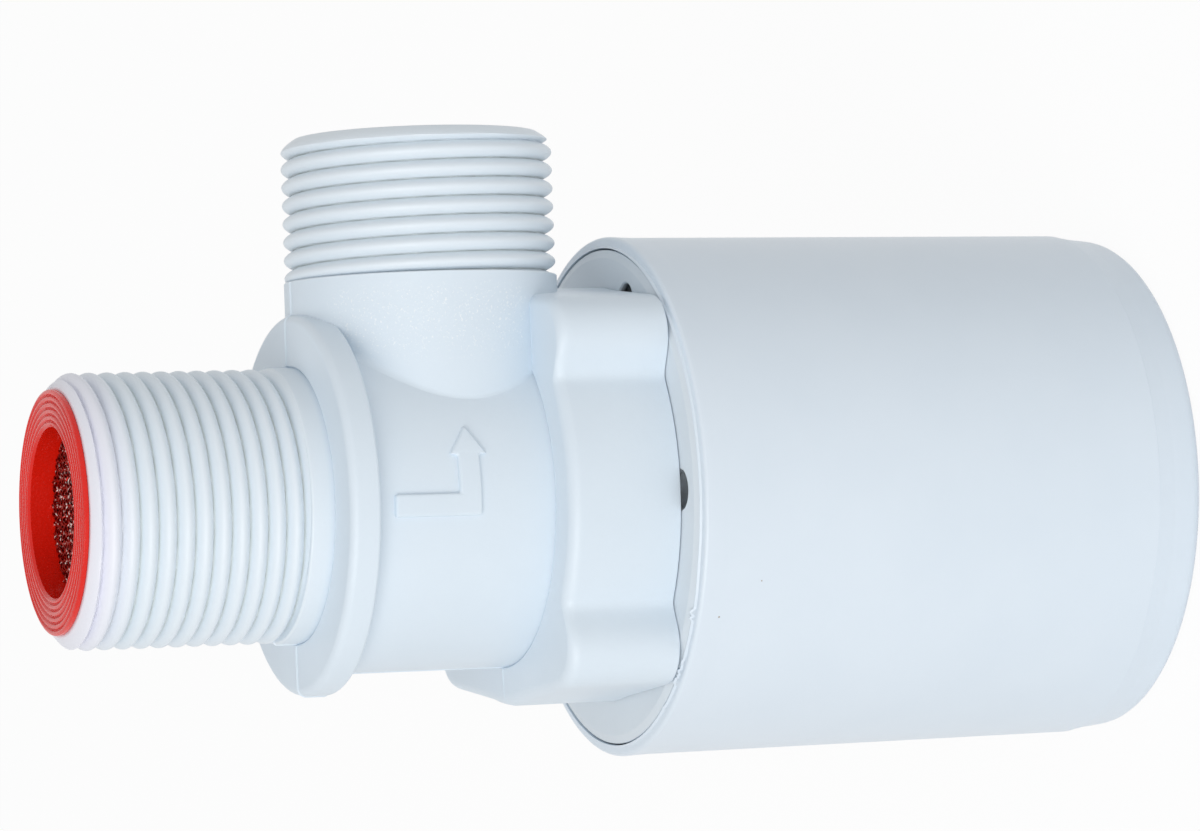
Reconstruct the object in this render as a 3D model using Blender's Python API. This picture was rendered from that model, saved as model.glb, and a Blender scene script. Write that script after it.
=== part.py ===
"""A pilot-operated float valve that stands on its float casing, inlet up.

Sizes are in metres and +Z is up. The origin is the centre of the casing's flat foot, and the outlet
points to +X. Water enters at the top, and a float in the casing opens and shuts a small pilot nozzle,
which lets a rubber diaphragm drop from its seat or presses it back.
"""

import math

import bmesh
import bpy
from mathutils import Matrix, Vector

# Fits and facets
GAP = 0.0003
LARGE_STEPS = 48
COVER_STEPS = 36
MEDIUM_STEPS = 32
SMALL_STEPS = 24
HEAD_STEPS = 12
PIN_STEPS = 10
EDGE_STEPS = 3
BEVEL_STEPS = 2
MERGE = 0.000001
OVERLAP = 0.0006
SHARP_ANGLE = math.radians(32)

# End cap that closes the casing and is the foot of the valve
CAP_TAPER = 0.0007
CAP_CORNER = 0.0010
CAP_BAND = 0.0032
CAP_HEIGHT = 0.0050
CAP_FLOOR = 0.0020
SPIGOT_RISE = 0.0020
SPIGOT_WALL = 0.0015
DRAIN_RADIUS = 0.0020
DRAIN_CIRCLE = 0.0120
DRAIN_COUNT = 4

# Casing around the float
CASING_TAPER = 0.0004
CASING_LENGTH = 0.04767
CASING_WALL = 0.0011
SNAP_RISE = 0.0004
SNAP_HALF_HEIGHT = 0.0006
SNAP_DEPTH = 0.0045

# Pilot cover, the round plate between the casing and the valve body
COVER_PROUD = 0.0004
COVER_EDGE = 0.0008
COVER_PLATE = 0.0024
SKIRT_DEPTH = 0.0075
SKIRT_WALL = 0.0018
BOWL_DEPTH = 0.0048
BOWL_WALL = 0.0018
BOWL_FLOOR = 0.0020
BOSS_RADIUS = 0.0045
BOSS_LENGTH = 0.0036
PILOT_PASSAGE = 0.0012
VENT_RADIUS = 0.0019
VENT_MARGIN = 0.0003
VENT_ANGLES = (-90.0, -22.5, 90.0, 157.5)

# Lobed flange at the foot of the valve body, with a screw in each lobe
FLANGE_WALL = 0.0037
FLANGE_HEIGHT = 0.01098
FLANGE_EDGE = 0.0010
LOBE_OFFSET = 0.0006
LOBE_RADIUS = 0.0050
LOBE_ARC_STEPS = 10
FLANGE_ARC_STEPS = 4
SCREW_WALL = 0.0007
SCREW_MARGIN = 0.0006
SCREW_RADIUS = 0.0013
SCREW_TIP = 0.0004
SCREW_LENGTH = 0.0120
SCREW_HEAD_BEVEL = 0.00045
SCREW_HEAD_RADIUS = 0.0026
SCREW_HEAD_HEIGHT = 0.0018
RECESS_ARM = 0.0014
RECESS_WIDTH = 0.0006
RECESS_DEPTH = 0.0009

# Barrel, collar and neck of the valve body
BARREL_LENGTH = 0.01805
BARREL_WALL = 0.0023
COLLAR_RIM = 0.0021
COLLAR_THICKNESS = 0.0030
COLLAR_EDGE = 0.0008
NECK_STEP = 0.00008
NECK_LENGTH = 0.00255

# Pipe threads of the inlet and the outlet
THREAD_RADIUS = 0.01322
THREAD_DEPTH = 0.00116
THREAD_PITCH = 0.001814
THREAD_CHAMFER = 0.0015
THREAD_STEPS = 24
TURNS_ABOVE = 4
TURNS_SPARE = 3
BLANK_TURN = math.radians(2.3)
FIRST_CREST = 0.00124
INLET_THREAD_LENGTH = 0.02045
OUTLET_RISE = 0.00708
OUTLET_REACH = 0.0357
OUTLET_THREAD_LENGTH = 0.0140

# Water ways inside the body
INLET_WALL = 0.00116
INLET_BORE_DEPTH = 0.0097
FUNNEL_LENGTH = 0.0050
NOZZLE_BORE = 0.0070
NOZZLE_WALL = 0.0022
CHANNEL_WIDTH = 0.0048
SEAT_LIP = 0.0010
SEAT_RISE = 0.0019
CHAMBER_ROOF = 0.0007
OUTLET_WALL = 0.00206

# Raised flow arrow on the barrel
ARROW_RISE = 0.0004
ARROW_WIDTH = 0.0022
ARROW_BAR = 0.0087
ARROW_STEM = 0.0058
ARROW_HEAD_WIDTH = 0.0038
ARROW_HEAD_LENGTH = 0.0028
ARROW_FOOT = 0.0018
ARROW_ABOVE_FLANGE = 0.0074

# Strainer in the inlet
FILTER_FLANGE = 0.0007
FILTER_OVERHANG = 0.0006
FILTER_WALL = 0.00245
FILTER_PLUG_LENGTH = 0.0070
FILTER_LEDGE = 0.0009
MESH_DROP = 0.00235
MESH_WIRE = 0.00035
MESH_PITCH = 0.0011
MESH_RIM = 0.0004
MESH_TURN = math.radians(45)

# Diaphragm, its core and its backing plate
DIAPHRAGM_RIM = 0.0015
DIAPHRAGM_RIM_WIDTH = 0.0026
DIAPHRAGM_WEB = 0.0016
ROLL_WIDTH = 0.0044
ROLL_STEP = 0.0005
CORE_STEM = 0.0020
CORE_HEAD = 0.0042
CORE_TIP = 0.0022
CORE_HEAD_HEIGHT = 0.0030
PLATE_THICKNESS = 0.0020
BLEED_MARGIN = 0.0006
BLEED_PIN_RADIUS = 0.0004
BLEED_PIN_STAND = 0.0056
BLEED_PIN_SEAT = 0.0014

# Pilot nozzle and its washer
NOZZLE_SHANK = 0.0022
NOZZLE_SHANK_LENGTH = 0.0042
NOZZLE_HEAD = 0.0036
NOZZLE_HEAD_HEIGHT = 0.0012
NOZZLE_TIP = 0.0015
NOZZLE_TIP_LENGTH = 0.0010
NOZZLE_ORIFICE = 0.0005
WASHER_RADIUS = 0.0040
WASHER_THICKNESS = 0.0007

# Float with the pad that shuts the pilot nozzle
FLOAT_STROKE = 0.0050
FLOAT_CLEARANCE = 0.0015
FLOAT_WALL = 0.0012
FLOAT_RIBS = 6
RIB_WIDTH = 0.0016
LID_THICKNESS = 0.0015
LID_SPIGOT = 0.0028
PAD_RADIUS = 0.0033
PAD_THICKNESS = 0.0012
PAD_BEVEL = 0.0003
HOLDER_WALL = 0.0009
HOLDER_FLOOR = 0.0008
HOLDER_LIP = 0.0009
HOLDER_STEM = 0.0020
HOLDER_STEM_LENGTH = 0.0024

# Heights that follow from the sizes above, from the foot to the inlet
CASING_Z = CAP_HEIGHT + GAP
RIM_Z = CASING_Z + CASING_LENGTH
COVER_Z = RIM_Z + COVER_PROUD
FLANGE_Z = COVER_Z + GAP
FLANGE_TOP_Z = FLANGE_Z + FLANGE_HEIGHT
COLLAR_Z = FLANGE_TOP_Z + BARREL_LENGTH
COLLAR_TOP_Z = COLLAR_Z + COLLAR_THICKNESS
NECK_TOP_Z = COLLAR_TOP_Z + NECK_LENGTH
INLET_Z = NECK_TOP_Z + INLET_THREAD_LENGTH
FILTER_Z = INLET_Z + GAP + FILTER_FLANGE
OUTLET_Z = FLANGE_TOP_Z + OUTLET_RISE
BOWL_FLOOR_Z = COVER_Z - BOWL_DEPTH
BOSS_Z = BOWL_FLOOR_Z - BOWL_FLOOR - BOSS_LENGTH
SEAT_Z = FLANGE_Z + SEAT_RISE
WEB_Z = BOWL_FLOOR_Z + GAP + PLATE_THICKNESS + GAP
NOZZLE_TIP_Z = BOSS_Z - GAP - WASHER_THICKNESS - GAP - NOZZLE_HEAD_HEIGHT - NOZZLE_TIP_LENGTH
PAD_TOP_Z = NOZZLE_TIP_Z - GAP - FLOAT_STROKE
HOLDER_Z = PAD_TOP_Z - PAD_THICKNESS - GAP - HOLDER_FLOOR
LID_TOP_Z = HOLDER_Z - GAP
FLOAT_Z = CAP_HEIGHT + SPIGOT_RISE + GAP
FLOAT_HEIGHT = LID_TOP_Z - LID_THICKNESS - GAP - FLOAT_Z

# Radii that follow from the sizes above, from the water way out to the casing
NOZZLE_RADIUS = NOZZLE_BORE + NOZZLE_WALL
CHAMBER_RADIUS = NOZZLE_RADIUS + CHANNEL_WIDTH
BARREL_RADIUS = CHAMBER_RADIUS + BARREL_WALL
COLLAR_RADIUS = BARREL_RADIUS + COLLAR_RIM
BOWL_RADIUS = CHAMBER_RADIUS
PLATE_RADIUS = BOWL_RADIUS - ROLL_WIDTH
BLEED_CIRCLE = NOZZLE_BORE - BLEED_MARGIN
DIAPHRAGM_RADIUS = BOWL_RADIUS + DIAPHRAGM_RIM_WIDTH
DIAPHRAGM_SEAT_RADIUS = DIAPHRAGM_RADIUS + GAP
FLANGE_RADIUS = DIAPHRAGM_SEAT_RADIUS + FLANGE_WALL
SCREW_HOLE = SCREW_RADIUS + GAP
SCREW_CIRCLE = DIAPHRAGM_SEAT_RADIUS + SCREW_WALL + SCREW_HOLE
LOBE_CIRCLE = SCREW_CIRCLE + LOBE_OFFSET
SKIRT_INNER = SCREW_CIRCLE + SCREW_HEAD_RADIUS + SCREW_MARGIN
VENT_CIRCLE = SKIRT_INNER - VENT_MARGIN - VENT_RADIUS
COVER_RADIUS = SKIRT_INNER + SKIRT_WALL
CASING_BORE_RIM = COVER_RADIUS + GAP
CASING_RIM_RADIUS = CASING_BORE_RIM + CASING_WALL
CASING_FOOT_RADIUS = CASING_RIM_RADIUS - CASING_TAPER
CASING_BORE_FOOT = CASING_FOOT_RADIUS - CASING_WALL
CAP_RADIUS = CASING_FOOT_RADIUS - CAP_TAPER
SPIGOT_RADIUS = CASING_BORE_FOOT - GAP
RIB_RADIUS = CASING_BORE_FOOT - GAP
FLOAT_RADIUS = CASING_BORE_FOOT - FLOAT_CLEARANCE

# Radii of the threads, the strainer and the small holes
THREAD_ROOT = THREAD_RADIUS - THREAD_DEPTH
NECK_RADIUS = THREAD_RADIUS + NECK_STEP
INLET_BORE = THREAD_ROOT - INLET_WALL
OUTLET_BORE = THREAD_ROOT - OUTLET_WALL
FILTER_RADIUS = INLET_BORE + FILTER_OVERHANG
FILTER_PLUG = INLET_BORE - GAP
FILTER_HOLE = FILTER_PLUG - FILTER_WALL
MESH_RADIUS = FILTER_HOLE - GAP
CORE_HOLE = CORE_STEM + GAP
BLEED_HOLE = BLEED_PIN_RADIUS + GAP
HOLDER_HOLE = HOLDER_STEM + GAP
LOBE_ANGLES = [math.radians(45 + 90 * quarter) for quarter in range(4)]


def arc(centre, radius, start, end, steps):
    """Points of an arc from start to end, in degrees, both ends included."""
    turns = [math.radians(start + (end - start) * step / steps) for step in range(steps + 1)]
    return [(centre[0] + radius * math.cos(t), centre[1] + radius * math.sin(t)) for t in turns]


def new_object(name, bm, place):
    """Put a finished bmesh into the scene under its own name."""
    mesh = bpy.data.meshes.new(name)
    bm.to_mesh(mesh)
    bm.free()
    obj = bpy.data.objects.new(name, mesh)
    bpy.context.scene.collection.objects.link(obj)
    obj.location = place
    return obj


def turned(name, profile, place=(0, 0, 0), steps=LARGE_STEPS):
    """Spin a closed outline of (radius, height) points about Z."""
    bm = bmesh.new()
    verts = [bm.verts.new((radius, 0, height)) for radius, height in profile]
    for first, second in zip(verts, verts[1:] + verts[:1]):
        if max(first.co.x, second.co.x) > 0:
            bm.edges.new((first, second))
    bmesh.ops.spin(bm, geom=verts + bm.edges[:], cent=(0, 0, 0), axis=(0, 0, 1),
                   angle=2 * math.pi, steps=steps, use_merge=True)
    bmesh.ops.remove_doubles(bm, verts=bm.verts, dist=MERGE)
    bmesh.ops.recalc_face_normals(bm, faces=bm.faces)
    return new_object(name, bm, place)


def prism(name, outline, height, place=(0, 0, 0), edge=0):
    """Extrude a flat outline upwards and round its upper edge if edge isn't zero."""
    bm = bmesh.new()
    floor = bm.faces.new([bm.verts.new((x, y, 0)) for x, y in outline])
    raised = bmesh.ops.extrude_face_region(bm, geom=[floor])["geom"]
    roof = [item for item in raised if isinstance(item, bmesh.types.BMVert)]
    bmesh.ops.translate(bm, verts=roof, vec=(0, 0, height))
    bmesh.ops.recalc_face_normals(bm, faces=bm.faces)
    if edge:
        rim = [item for item in bm.edges if all(vert in roof for vert in item.verts)]
        bmesh.ops.bevel(bm, geom=rim, offset=edge, segments=BEVEL_STEPS, profile=0.5, affect="EDGES")
    return new_object(name, bm, place)


def drills(name, spots, radius, depth, place=(0, 0, 0), steps=SMALL_STEPS):
    """Upright round cutters on a list of (x, y) spots, reaching up by depth."""
    bm = bmesh.new()
    for x, y in spots:
        bmesh.ops.create_cone(bm, cap_ends=True, segments=steps, radius1=radius, radius2=radius,
                              depth=depth, matrix=Matrix.Translation((x, y, depth / 2)))
    return new_object(name, bm, place)


def boxes(name, size, spots, place=(0, 0, 0)):
    """Boxes of one size in one mesh, each at an angle about Z and an (x, y, z) centre."""
    bm = bmesh.new()
    for angle, centre in spots:
        shape = Matrix.Translation(centre) @ Matrix.Rotation(angle, 4, "Z") @ Matrix.Diagonal((*size, 1))
        bmesh.ops.create_cube(bm, size=1, matrix=shape)
    return new_object(name, bm, place)


def on_circle(radius, angles):
    """Spots on a circle about the axis."""
    return [(radius * math.cos(angle), radius * math.sin(angle)) for angle in angles]


def combine(target, tool, operation):
    """Join, cut or trim an object by another, which then stays out of the part."""
    change = target.modifiers.new(tool.name, "BOOLEAN")
    change.operation = operation
    change.solver = "EXACT"
    change.object = tool
    tool.hide_render = True
    tool.display_type = "WIRE"


def finish(obj, finish_material, parent):
    """Give a piece its material, smooth shading and its carrier."""
    obj.data.shade_smooth()
    obj.data.set_sharp_from_angle(angle=SHARP_ANGLE)
    obj.data.materials.append(finish_material)
    obj.parent = parent
    obj.location.z -= parent.location.z
    return obj


def material(name, colour, roughness, metallic=0.0):
    """A plain Principled material in linear colour."""
    made = bpy.data.materials.new(name)
    made.use_nodes = True
    shader = made.node_tree.nodes["Principled BSDF"]
    shader.inputs["Base Color"].default_value = (*colour, 1)
    shader.inputs["Roughness"].default_value = roughness
    shader.inputs["Metallic"].default_value = metallic
    return made


def carrier(name, height):
    """An empty on the valve's axis that a group of pieces hangs on."""
    empty = bpy.data.objects.new(name, None)
    bpy.context.scene.collection.objects.link(empty)
    empty.location = (0, 0, height)
    return empty


def threaded_rod(name, length):
    """A right-hand screw whose crest passes +X at local height zero and which runs down by length."""
    below = math.ceil(length / THREAD_PITCH) + TURNS_SPARE
    count = (below + TURNS_ABOVE) * THREAD_STEPS
    bm = bmesh.new()

    def point(index, radius, lift):
        turn = index / THREAD_STEPS - below
        angle = 2 * math.pi * turn
        height = (turn + lift) * THREAD_PITCH
        return bm.verts.new((radius * math.cos(angle), radius * math.sin(angle), height))

    crest = [point(index, THREAD_RADIUS, 0) for index in range(count + 1)]
    last = count - THREAD_STEPS
    root = [point(index, THREAD_ROOT, 0.5) for index in range(last + 1)]
    for index in range(last):
        over = index + THREAD_STEPS
        bm.faces.new((crest[index], crest[index + 1], root[index + 1], root[index]))
        bm.faces.new((root[index], root[index + 1], crest[over + 1], crest[over]))
    for start, hub_turn in ((0, 0.5 - below), (last, TURNS_ABOVE - 0.5)):
        hub = bm.verts.new((0, 0, hub_turn * THREAD_PITCH))
        loop = crest[start:start + THREAD_STEPS + 1] + [root[start]]
        for first, second in zip(loop, loop[1:] + loop[:1]):
            bm.faces.new((hub, first, second))
    bmesh.ops.recalc_face_normals(bm, faces=bm.faces)
    return new_object(name, bm, (0, 0, 0))


def pipe_thread(name, length):
    """A threaded stub that ends at local height zero with a chamfer, and its trimming blank."""
    rod = threaded_rod(name, length)
    rod.location.z = -FIRST_CREST
    reach = THREAD_RADIUS + OVERLAP
    chamfer = THREAD_CHAMFER + OVERLAP
    blank = turned(name + "_blank", [
        (0, 0), (reach - chamfer, 0), (reach, -chamfer), (reach, -length), (0, -length)])
    blank.data.transform(Matrix.Rotation(BLANK_TURN, 4, "Z"))
    combine(rod, blank, "INTERSECT")
    return rod, blank


def lobed_outline():
    """Flange outline: round to -Y and +Y, four screw lobes, and drafted straight sides to -X and +X."""
    centre = LOBE_CIRCLE * math.cos(LOBE_ANGLES[0])
    side = Vector((FLANGE_RADIUS - centre, -centre))
    tangent = math.degrees(math.atan2(side.y, side.x) + math.acos(LOBE_RADIUS / side.length))
    squares = FLANGE_RADIUS ** 2 + LOBE_CIRCLE ** 2 - LOBE_RADIUS ** 2
    notch = 45 + math.degrees(math.acos(squares / (2 * FLANGE_RADIUS * LOBE_CIRCLE)))
    meet = on_circle(FLANGE_RADIUS, [math.radians(notch)])[0]
    lobe_end = math.degrees(math.atan2(meet[1] - centre, meet[0] - centre))
    quarter = [(FLANGE_RADIUS, 0)]
    quarter += arc((centre, centre), LOBE_RADIUS, tangent, lobe_end, LOBE_ARC_STEPS)
    quarter += arc((0, 0), FLANGE_RADIUS, notch, 90, FLANGE_ARC_STEPS)[1:]
    half = quarter + [(-x, y) for x, y in quarter[-2::-1]]
    return half + [(x, -y) for x, y in half[-2:0:-1]]


def arrow_outline():
    """Flow arrow seen from the front: a bar along the axis that turns towards the outlet."""
    stem_low = ARROW_ABOVE_FLANGE
    stem_high = stem_low + ARROW_WIDTH
    middle = (stem_low + stem_high) / 2
    tip = ARROW_STEM + ARROW_HEAD_LENGTH
    points = [
        (0, stem_low), (ARROW_STEM, stem_low), (ARROW_STEM, middle - ARROW_HEAD_WIDTH / 2), (tip, middle),
        (ARROW_STEM, middle + ARROW_HEAD_WIDTH / 2), (ARROW_STEM, stem_high), (ARROW_WIDTH, stem_high),
        (ARROW_WIDTH, stem_low + ARROW_BAR), (0, stem_low + ARROW_BAR)]
    return [(x - ARROW_FOOT, height) for x, height in points]


def valve_body():
    """Moulded body: inlet thread, collar, barrel, outlet and lobed flange, with its water ways cut out."""
    edge = COLLAR_EDGE
    rim = COLLAR_RADIUS - edge
    body = turned("valve_body", [
        (0, NECK_TOP_Z), (NECK_RADIUS, NECK_TOP_Z), (NECK_RADIUS, COLLAR_TOP_Z),
        *arc((rim, COLLAR_TOP_Z - edge), edge, 90, 0, EDGE_STEPS),
        *arc((rim, COLLAR_Z + edge), edge, 0, -90, EDGE_STEPS),
        (BARREL_RADIUS, COLLAR_Z), (BARREL_RADIUS, FLANGE_TOP_Z - OVERLAP), (0, FLANGE_TOP_Z - OVERLAP)])

    flange = prism("flange_form", lobed_outline(), FLANGE_HEIGHT, (0, 0, FLANGE_Z), FLANGE_EDGE)
    inlet, inlet_blank = pipe_thread("inlet_thread_form", INLET_THREAD_LENGTH + OVERLAP)
    inlet.location.z += INLET_Z
    inlet_blank.location.z = INLET_Z
    outlet, outlet_blank = pipe_thread("outlet_thread_form", OUTLET_THREAD_LENGTH + OVERLAP)
    outlet.location = (OUTLET_REACH - FIRST_CREST, 0, OUTLET_Z)
    outlet_blank.location = (OUTLET_REACH, 0, OUTLET_Z)
    stub_length = OUTLET_REACH - OUTLET_THREAD_LENGTH
    stub = turned("outlet_stub_form", [
        (0, 0), (NECK_RADIUS, 0), (NECK_RADIUS, stub_length), (0, stub_length)], (0, 0, OUTLET_Z))
    for lying in (outlet, outlet_blank, stub):
        lying.rotation_euler = (0, math.pi / 2, 0)
    arrow = prism("arrow_form", arrow_outline(), BARREL_RADIUS, (0, 0, FLANGE_TOP_Z))
    arrow.rotation_euler = (math.pi / 2, 0, 0)
    arrow.location.y = -BARREL_RADIUS / 2
    arrow_face = BARREL_RADIUS + ARROW_RISE
    arrow_skin = turned("arrow_skin", [
        (0, FLANGE_TOP_Z), (arrow_face, FLANGE_TOP_Z), (arrow_face, COLLAR_Z), (0, COLLAR_Z)])
    combine(arrow, arrow_skin, "INTERSECT")
    for form in (flange, inlet, stub, outlet, arrow):
        combine(body, form, "UNION")

    funnel_z = INLET_Z - INLET_BORE_DEPTH
    water_end = SEAT_Z - SEAT_RISE / 2
    water_way = turned("water_way", [
        (0, INLET_Z + OVERLAP), (INLET_BORE, INLET_Z + OVERLAP), (INLET_BORE, funnel_z),
        (NOZZLE_BORE, funnel_z - FUNNEL_LENGTH), (NOZZLE_BORE, water_end), (0, water_end)],
        steps=MEDIUM_STEPS)
    rim_roof = FLANGE_Z + DIAPHRAGM_RIM + GAP
    below = FLANGE_Z - OVERLAP
    chamber = turned("chamber", [
        (NOZZLE_RADIUS, COLLAR_Z - CHAMBER_ROOF), (CHAMBER_RADIUS, COLLAR_Z - CHAMBER_ROOF),
        (CHAMBER_RADIUS, rim_roof), (DIAPHRAGM_SEAT_RADIUS, rim_roof), (DIAPHRAGM_SEAT_RADIUS, below),
        (0, below), (0, SEAT_Z), (NOZZLE_BORE + SEAT_LIP, SEAT_Z), (NOZZLE_RADIUS, SEAT_Z + SEAT_LIP)],
        steps=MEDIUM_STEPS)
    outlet_start = (NOZZLE_RADIUS + CHAMBER_RADIUS) / 2
    outlet_way = drills("outlet_way", [(0, 0)], OUTLET_BORE, OUTLET_REACH - outlet_start + OVERLAP,
                        (outlet_start, 0, OUTLET_Z), LARGE_STEPS)
    outlet_way.rotation_euler = (0, math.pi / 2, 0)
    screw_depth = SCREW_LENGTH - COVER_PLATE + OVERLAP
    screw_holes = drills("screw_holes", on_circle(SCREW_CIRCLE, LOBE_ANGLES), SCREW_HOLE,
                         screw_depth + OVERLAP, (0, 0, below), PIN_STEPS)
    for cutter in (water_way, chamber, outlet_way, screw_holes):
        combine(body, cutter, "DIFFERENCE")
    return body


def filter_frame():
    """Strainer ring that caps the inlet, with a plug in the bore and a ledge for the mesh."""
    ledge_z = FILTER_Z - MESH_DROP - MESH_WIRE - GAP
    ledge = FILTER_HOLE - FILTER_LEDGE
    foot = INLET_Z - FILTER_PLUG_LENGTH
    seat = INLET_Z + GAP
    return turned("filter_frame", [
        (FILTER_HOLE, FILTER_Z), (FILTER_RADIUS, FILTER_Z), (FILTER_RADIUS, seat), (FILTER_PLUG, seat),
        (FILTER_PLUG, foot), (ledge, foot), (ledge, ledge_z), (FILTER_HOLE, ledge_z)], steps=MEDIUM_STEPS)


def filter_mesh():
    """Wire net: a thin round sheet with a square opening between each pair of wires."""
    rim = arc((0, 0), MESH_RADIUS, 0, 360, MEDIUM_STEPS)[1:]
    net = prism("filter_mesh", rim, MESH_WIRE, (0, 0, FILTER_Z - MESH_DROP - MESH_WIRE))
    hole = MESH_PITCH - MESH_WIRE
    reach = MESH_RADIUS - MESH_RIM - hole / math.sqrt(2)
    count = math.ceil(MESH_RADIUS / MESH_PITCH)
    spots = []
    for row in range(-count, count):
        for column in range(-count, count):
            centre = Vector(((row + 0.5) * MESH_PITCH, (column + 0.5) * MESH_PITCH, MESH_WIRE / 2))
            if centre.xy.length <= reach:
                centre.rotate(Matrix.Rotation(MESH_TURN, 3, "Z"))
                spots.append((MESH_TURN, centre))
    openings = boxes("mesh_openings", (hole, hole, MESH_WIRE + 2 * OVERLAP), spots, net.location)
    combine(net, openings, "DIFFERENCE")
    print("mesh openings", len(spots))
    return net


def diaphragm():
    """Rubber diaphragm in its open shape, with a thick rim and a web that hangs into the bowl."""
    web_top = WEB_Z + DIAPHRAGM_WEB
    rim_top = FLANGE_Z + DIAPHRAGM_RIM
    sheet = turned("diaphragm", [
        (CORE_HOLE, web_top), (PLATE_RADIUS, web_top), (BOWL_RADIUS - ROLL_STEP, rim_top),
        (DIAPHRAGM_RADIUS, rim_top), (DIAPHRAGM_RADIUS, FLANGE_Z), (BOWL_RADIUS, FLANGE_Z),
        (PLATE_RADIUS + ROLL_STEP, WEB_Z), (CORE_HOLE, WEB_Z)], steps=MEDIUM_STEPS)
    bleed = drills("diaphragm_bleed", [(BLEED_CIRCLE, 0)], BLEED_HOLE, 2 * DIAPHRAGM_WEB,
                   (0, 0, WEB_Z - DIAPHRAGM_WEB / 2), PIN_STEPS)
    combine(sheet, bleed, "DIFFERENCE")
    return sheet


def diaphragm_plate():
    """Backing plate under the diaphragm, with holes for the core and the bleed pin."""
    plate = turned("diaphragm_plate", [
        (CORE_HOLE, PLATE_THICKNESS), (PLATE_RADIUS, PLATE_THICKNESS), (PLATE_RADIUS, 0), (CORE_HOLE, 0)],
        (0, 0, BOWL_FLOOR_Z + GAP), SMALL_STEPS)
    bleed = drills("plate_bleed", [(BLEED_CIRCLE, 0)], BLEED_HOLE, 2 * PLATE_THICKNESS,
                   (0, 0, BOWL_FLOOR_Z + GAP - PLATE_THICKNESS / 2), PIN_STEPS)
    combine(plate, bleed, "DIFFERENCE")
    return plate


def diaphragm_core():
    """Plug whose tapered head lies on the diaphragm and whose stem holds the plate."""
    stem = GAP + DIAPHRAGM_WEB + GAP + PLATE_THICKNESS
    return turned("diaphragm_core", [
        (0, CORE_HEAD_HEIGHT), (CORE_TIP, CORE_HEAD_HEIGHT), (CORE_HEAD, 0), (CORE_STEM, 0),
        (CORE_STEM, -stem), (0, -stem)], (0, 0, WEB_Z + DIAPHRAGM_WEB + GAP), SMALL_STEPS)


def bleed_pin():
    """Wire pin that stands in the bowl floor and keeps the diaphragm's bleed hole clear."""
    length = BLEED_PIN_SEAT - GAP + BLEED_PIN_STAND
    return turned("bleed_pin", [
        (0, length), (BLEED_PIN_RADIUS, length), (BLEED_PIN_RADIUS, 0), (0, 0)],
        (BLEED_CIRCLE, 0, BOWL_FLOOR_Z - BLEED_PIN_SEAT + GAP), PIN_STEPS)


def pilot_cover():
    """Round plate with the diaphragm's bowl, the pilot boss, vents, screw holes and a skirt in the casing."""
    edge = COVER_EDGE
    bowl_outer = BOWL_RADIUS + BOWL_WALL
    groove = COVER_RADIUS - SNAP_RISE
    groove_half = SNAP_HALF_HEIGHT + GAP
    groove_z = RIM_Z - SNAP_DEPTH
    skirt_z = COVER_Z - SKIRT_DEPTH
    plate_z = COVER_Z - COVER_PLATE
    shank_bore = NOZZLE_SHANK + GAP
    shank_z = BOSS_Z - GAP - WASHER_THICKNESS - GAP + NOZZLE_SHANK_LENGTH + GAP
    cover = turned("pilot_cover", [
        (BOWL_RADIUS, COVER_Z), *arc((COVER_RADIUS - edge, COVER_Z - edge), edge, 90, 0, EDGE_STEPS),
        (COVER_RADIUS, groove_z + groove_half), (groove, groove_z + groove_half),
        (groove, groove_z - groove_half), (COVER_RADIUS, groove_z - groove_half),
        (COVER_RADIUS, skirt_z), (SKIRT_INNER, skirt_z), (SKIRT_INNER, plate_z), (bowl_outer, plate_z),
        (bowl_outer, BOWL_FLOOR_Z - BOWL_FLOOR), (BOSS_RADIUS, BOWL_FLOOR_Z - BOWL_FLOOR),
        (BOSS_RADIUS, BOSS_Z), (shank_bore, BOSS_Z), (shank_bore, shank_z), (PILOT_PASSAGE, shank_z),
        (PILOT_PASSAGE, BOWL_FLOOR_Z), (BOWL_RADIUS, BOWL_FLOOR_Z)], steps=COVER_STEPS)
    vents = on_circle(VENT_CIRCLE, [math.radians(angle) for angle in VENT_ANGLES])
    through = COVER_PLATE + 2 * OVERLAP
    low = (0, 0, plate_z - OVERLAP)
    combine(cover, drills("vent_holes", vents, VENT_RADIUS, through, low), "DIFFERENCE")
    screws = on_circle(SCREW_CIRCLE, LOBE_ANGLES)
    combine(cover, drills("cover_screw_holes", screws, SCREW_HOLE, through, low, PIN_STEPS), "DIFFERENCE")
    pin_seat = drills("bleed_pin_seat", [(BLEED_CIRCLE, 0)], BLEED_HOLE, BLEED_PIN_SEAT + OVERLAP,
                      (0, 0, BOWL_FLOOR_Z - BLEED_PIN_SEAT), PIN_STEPS)
    combine(cover, pin_seat, "DIFFERENCE")
    return cover


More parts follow.
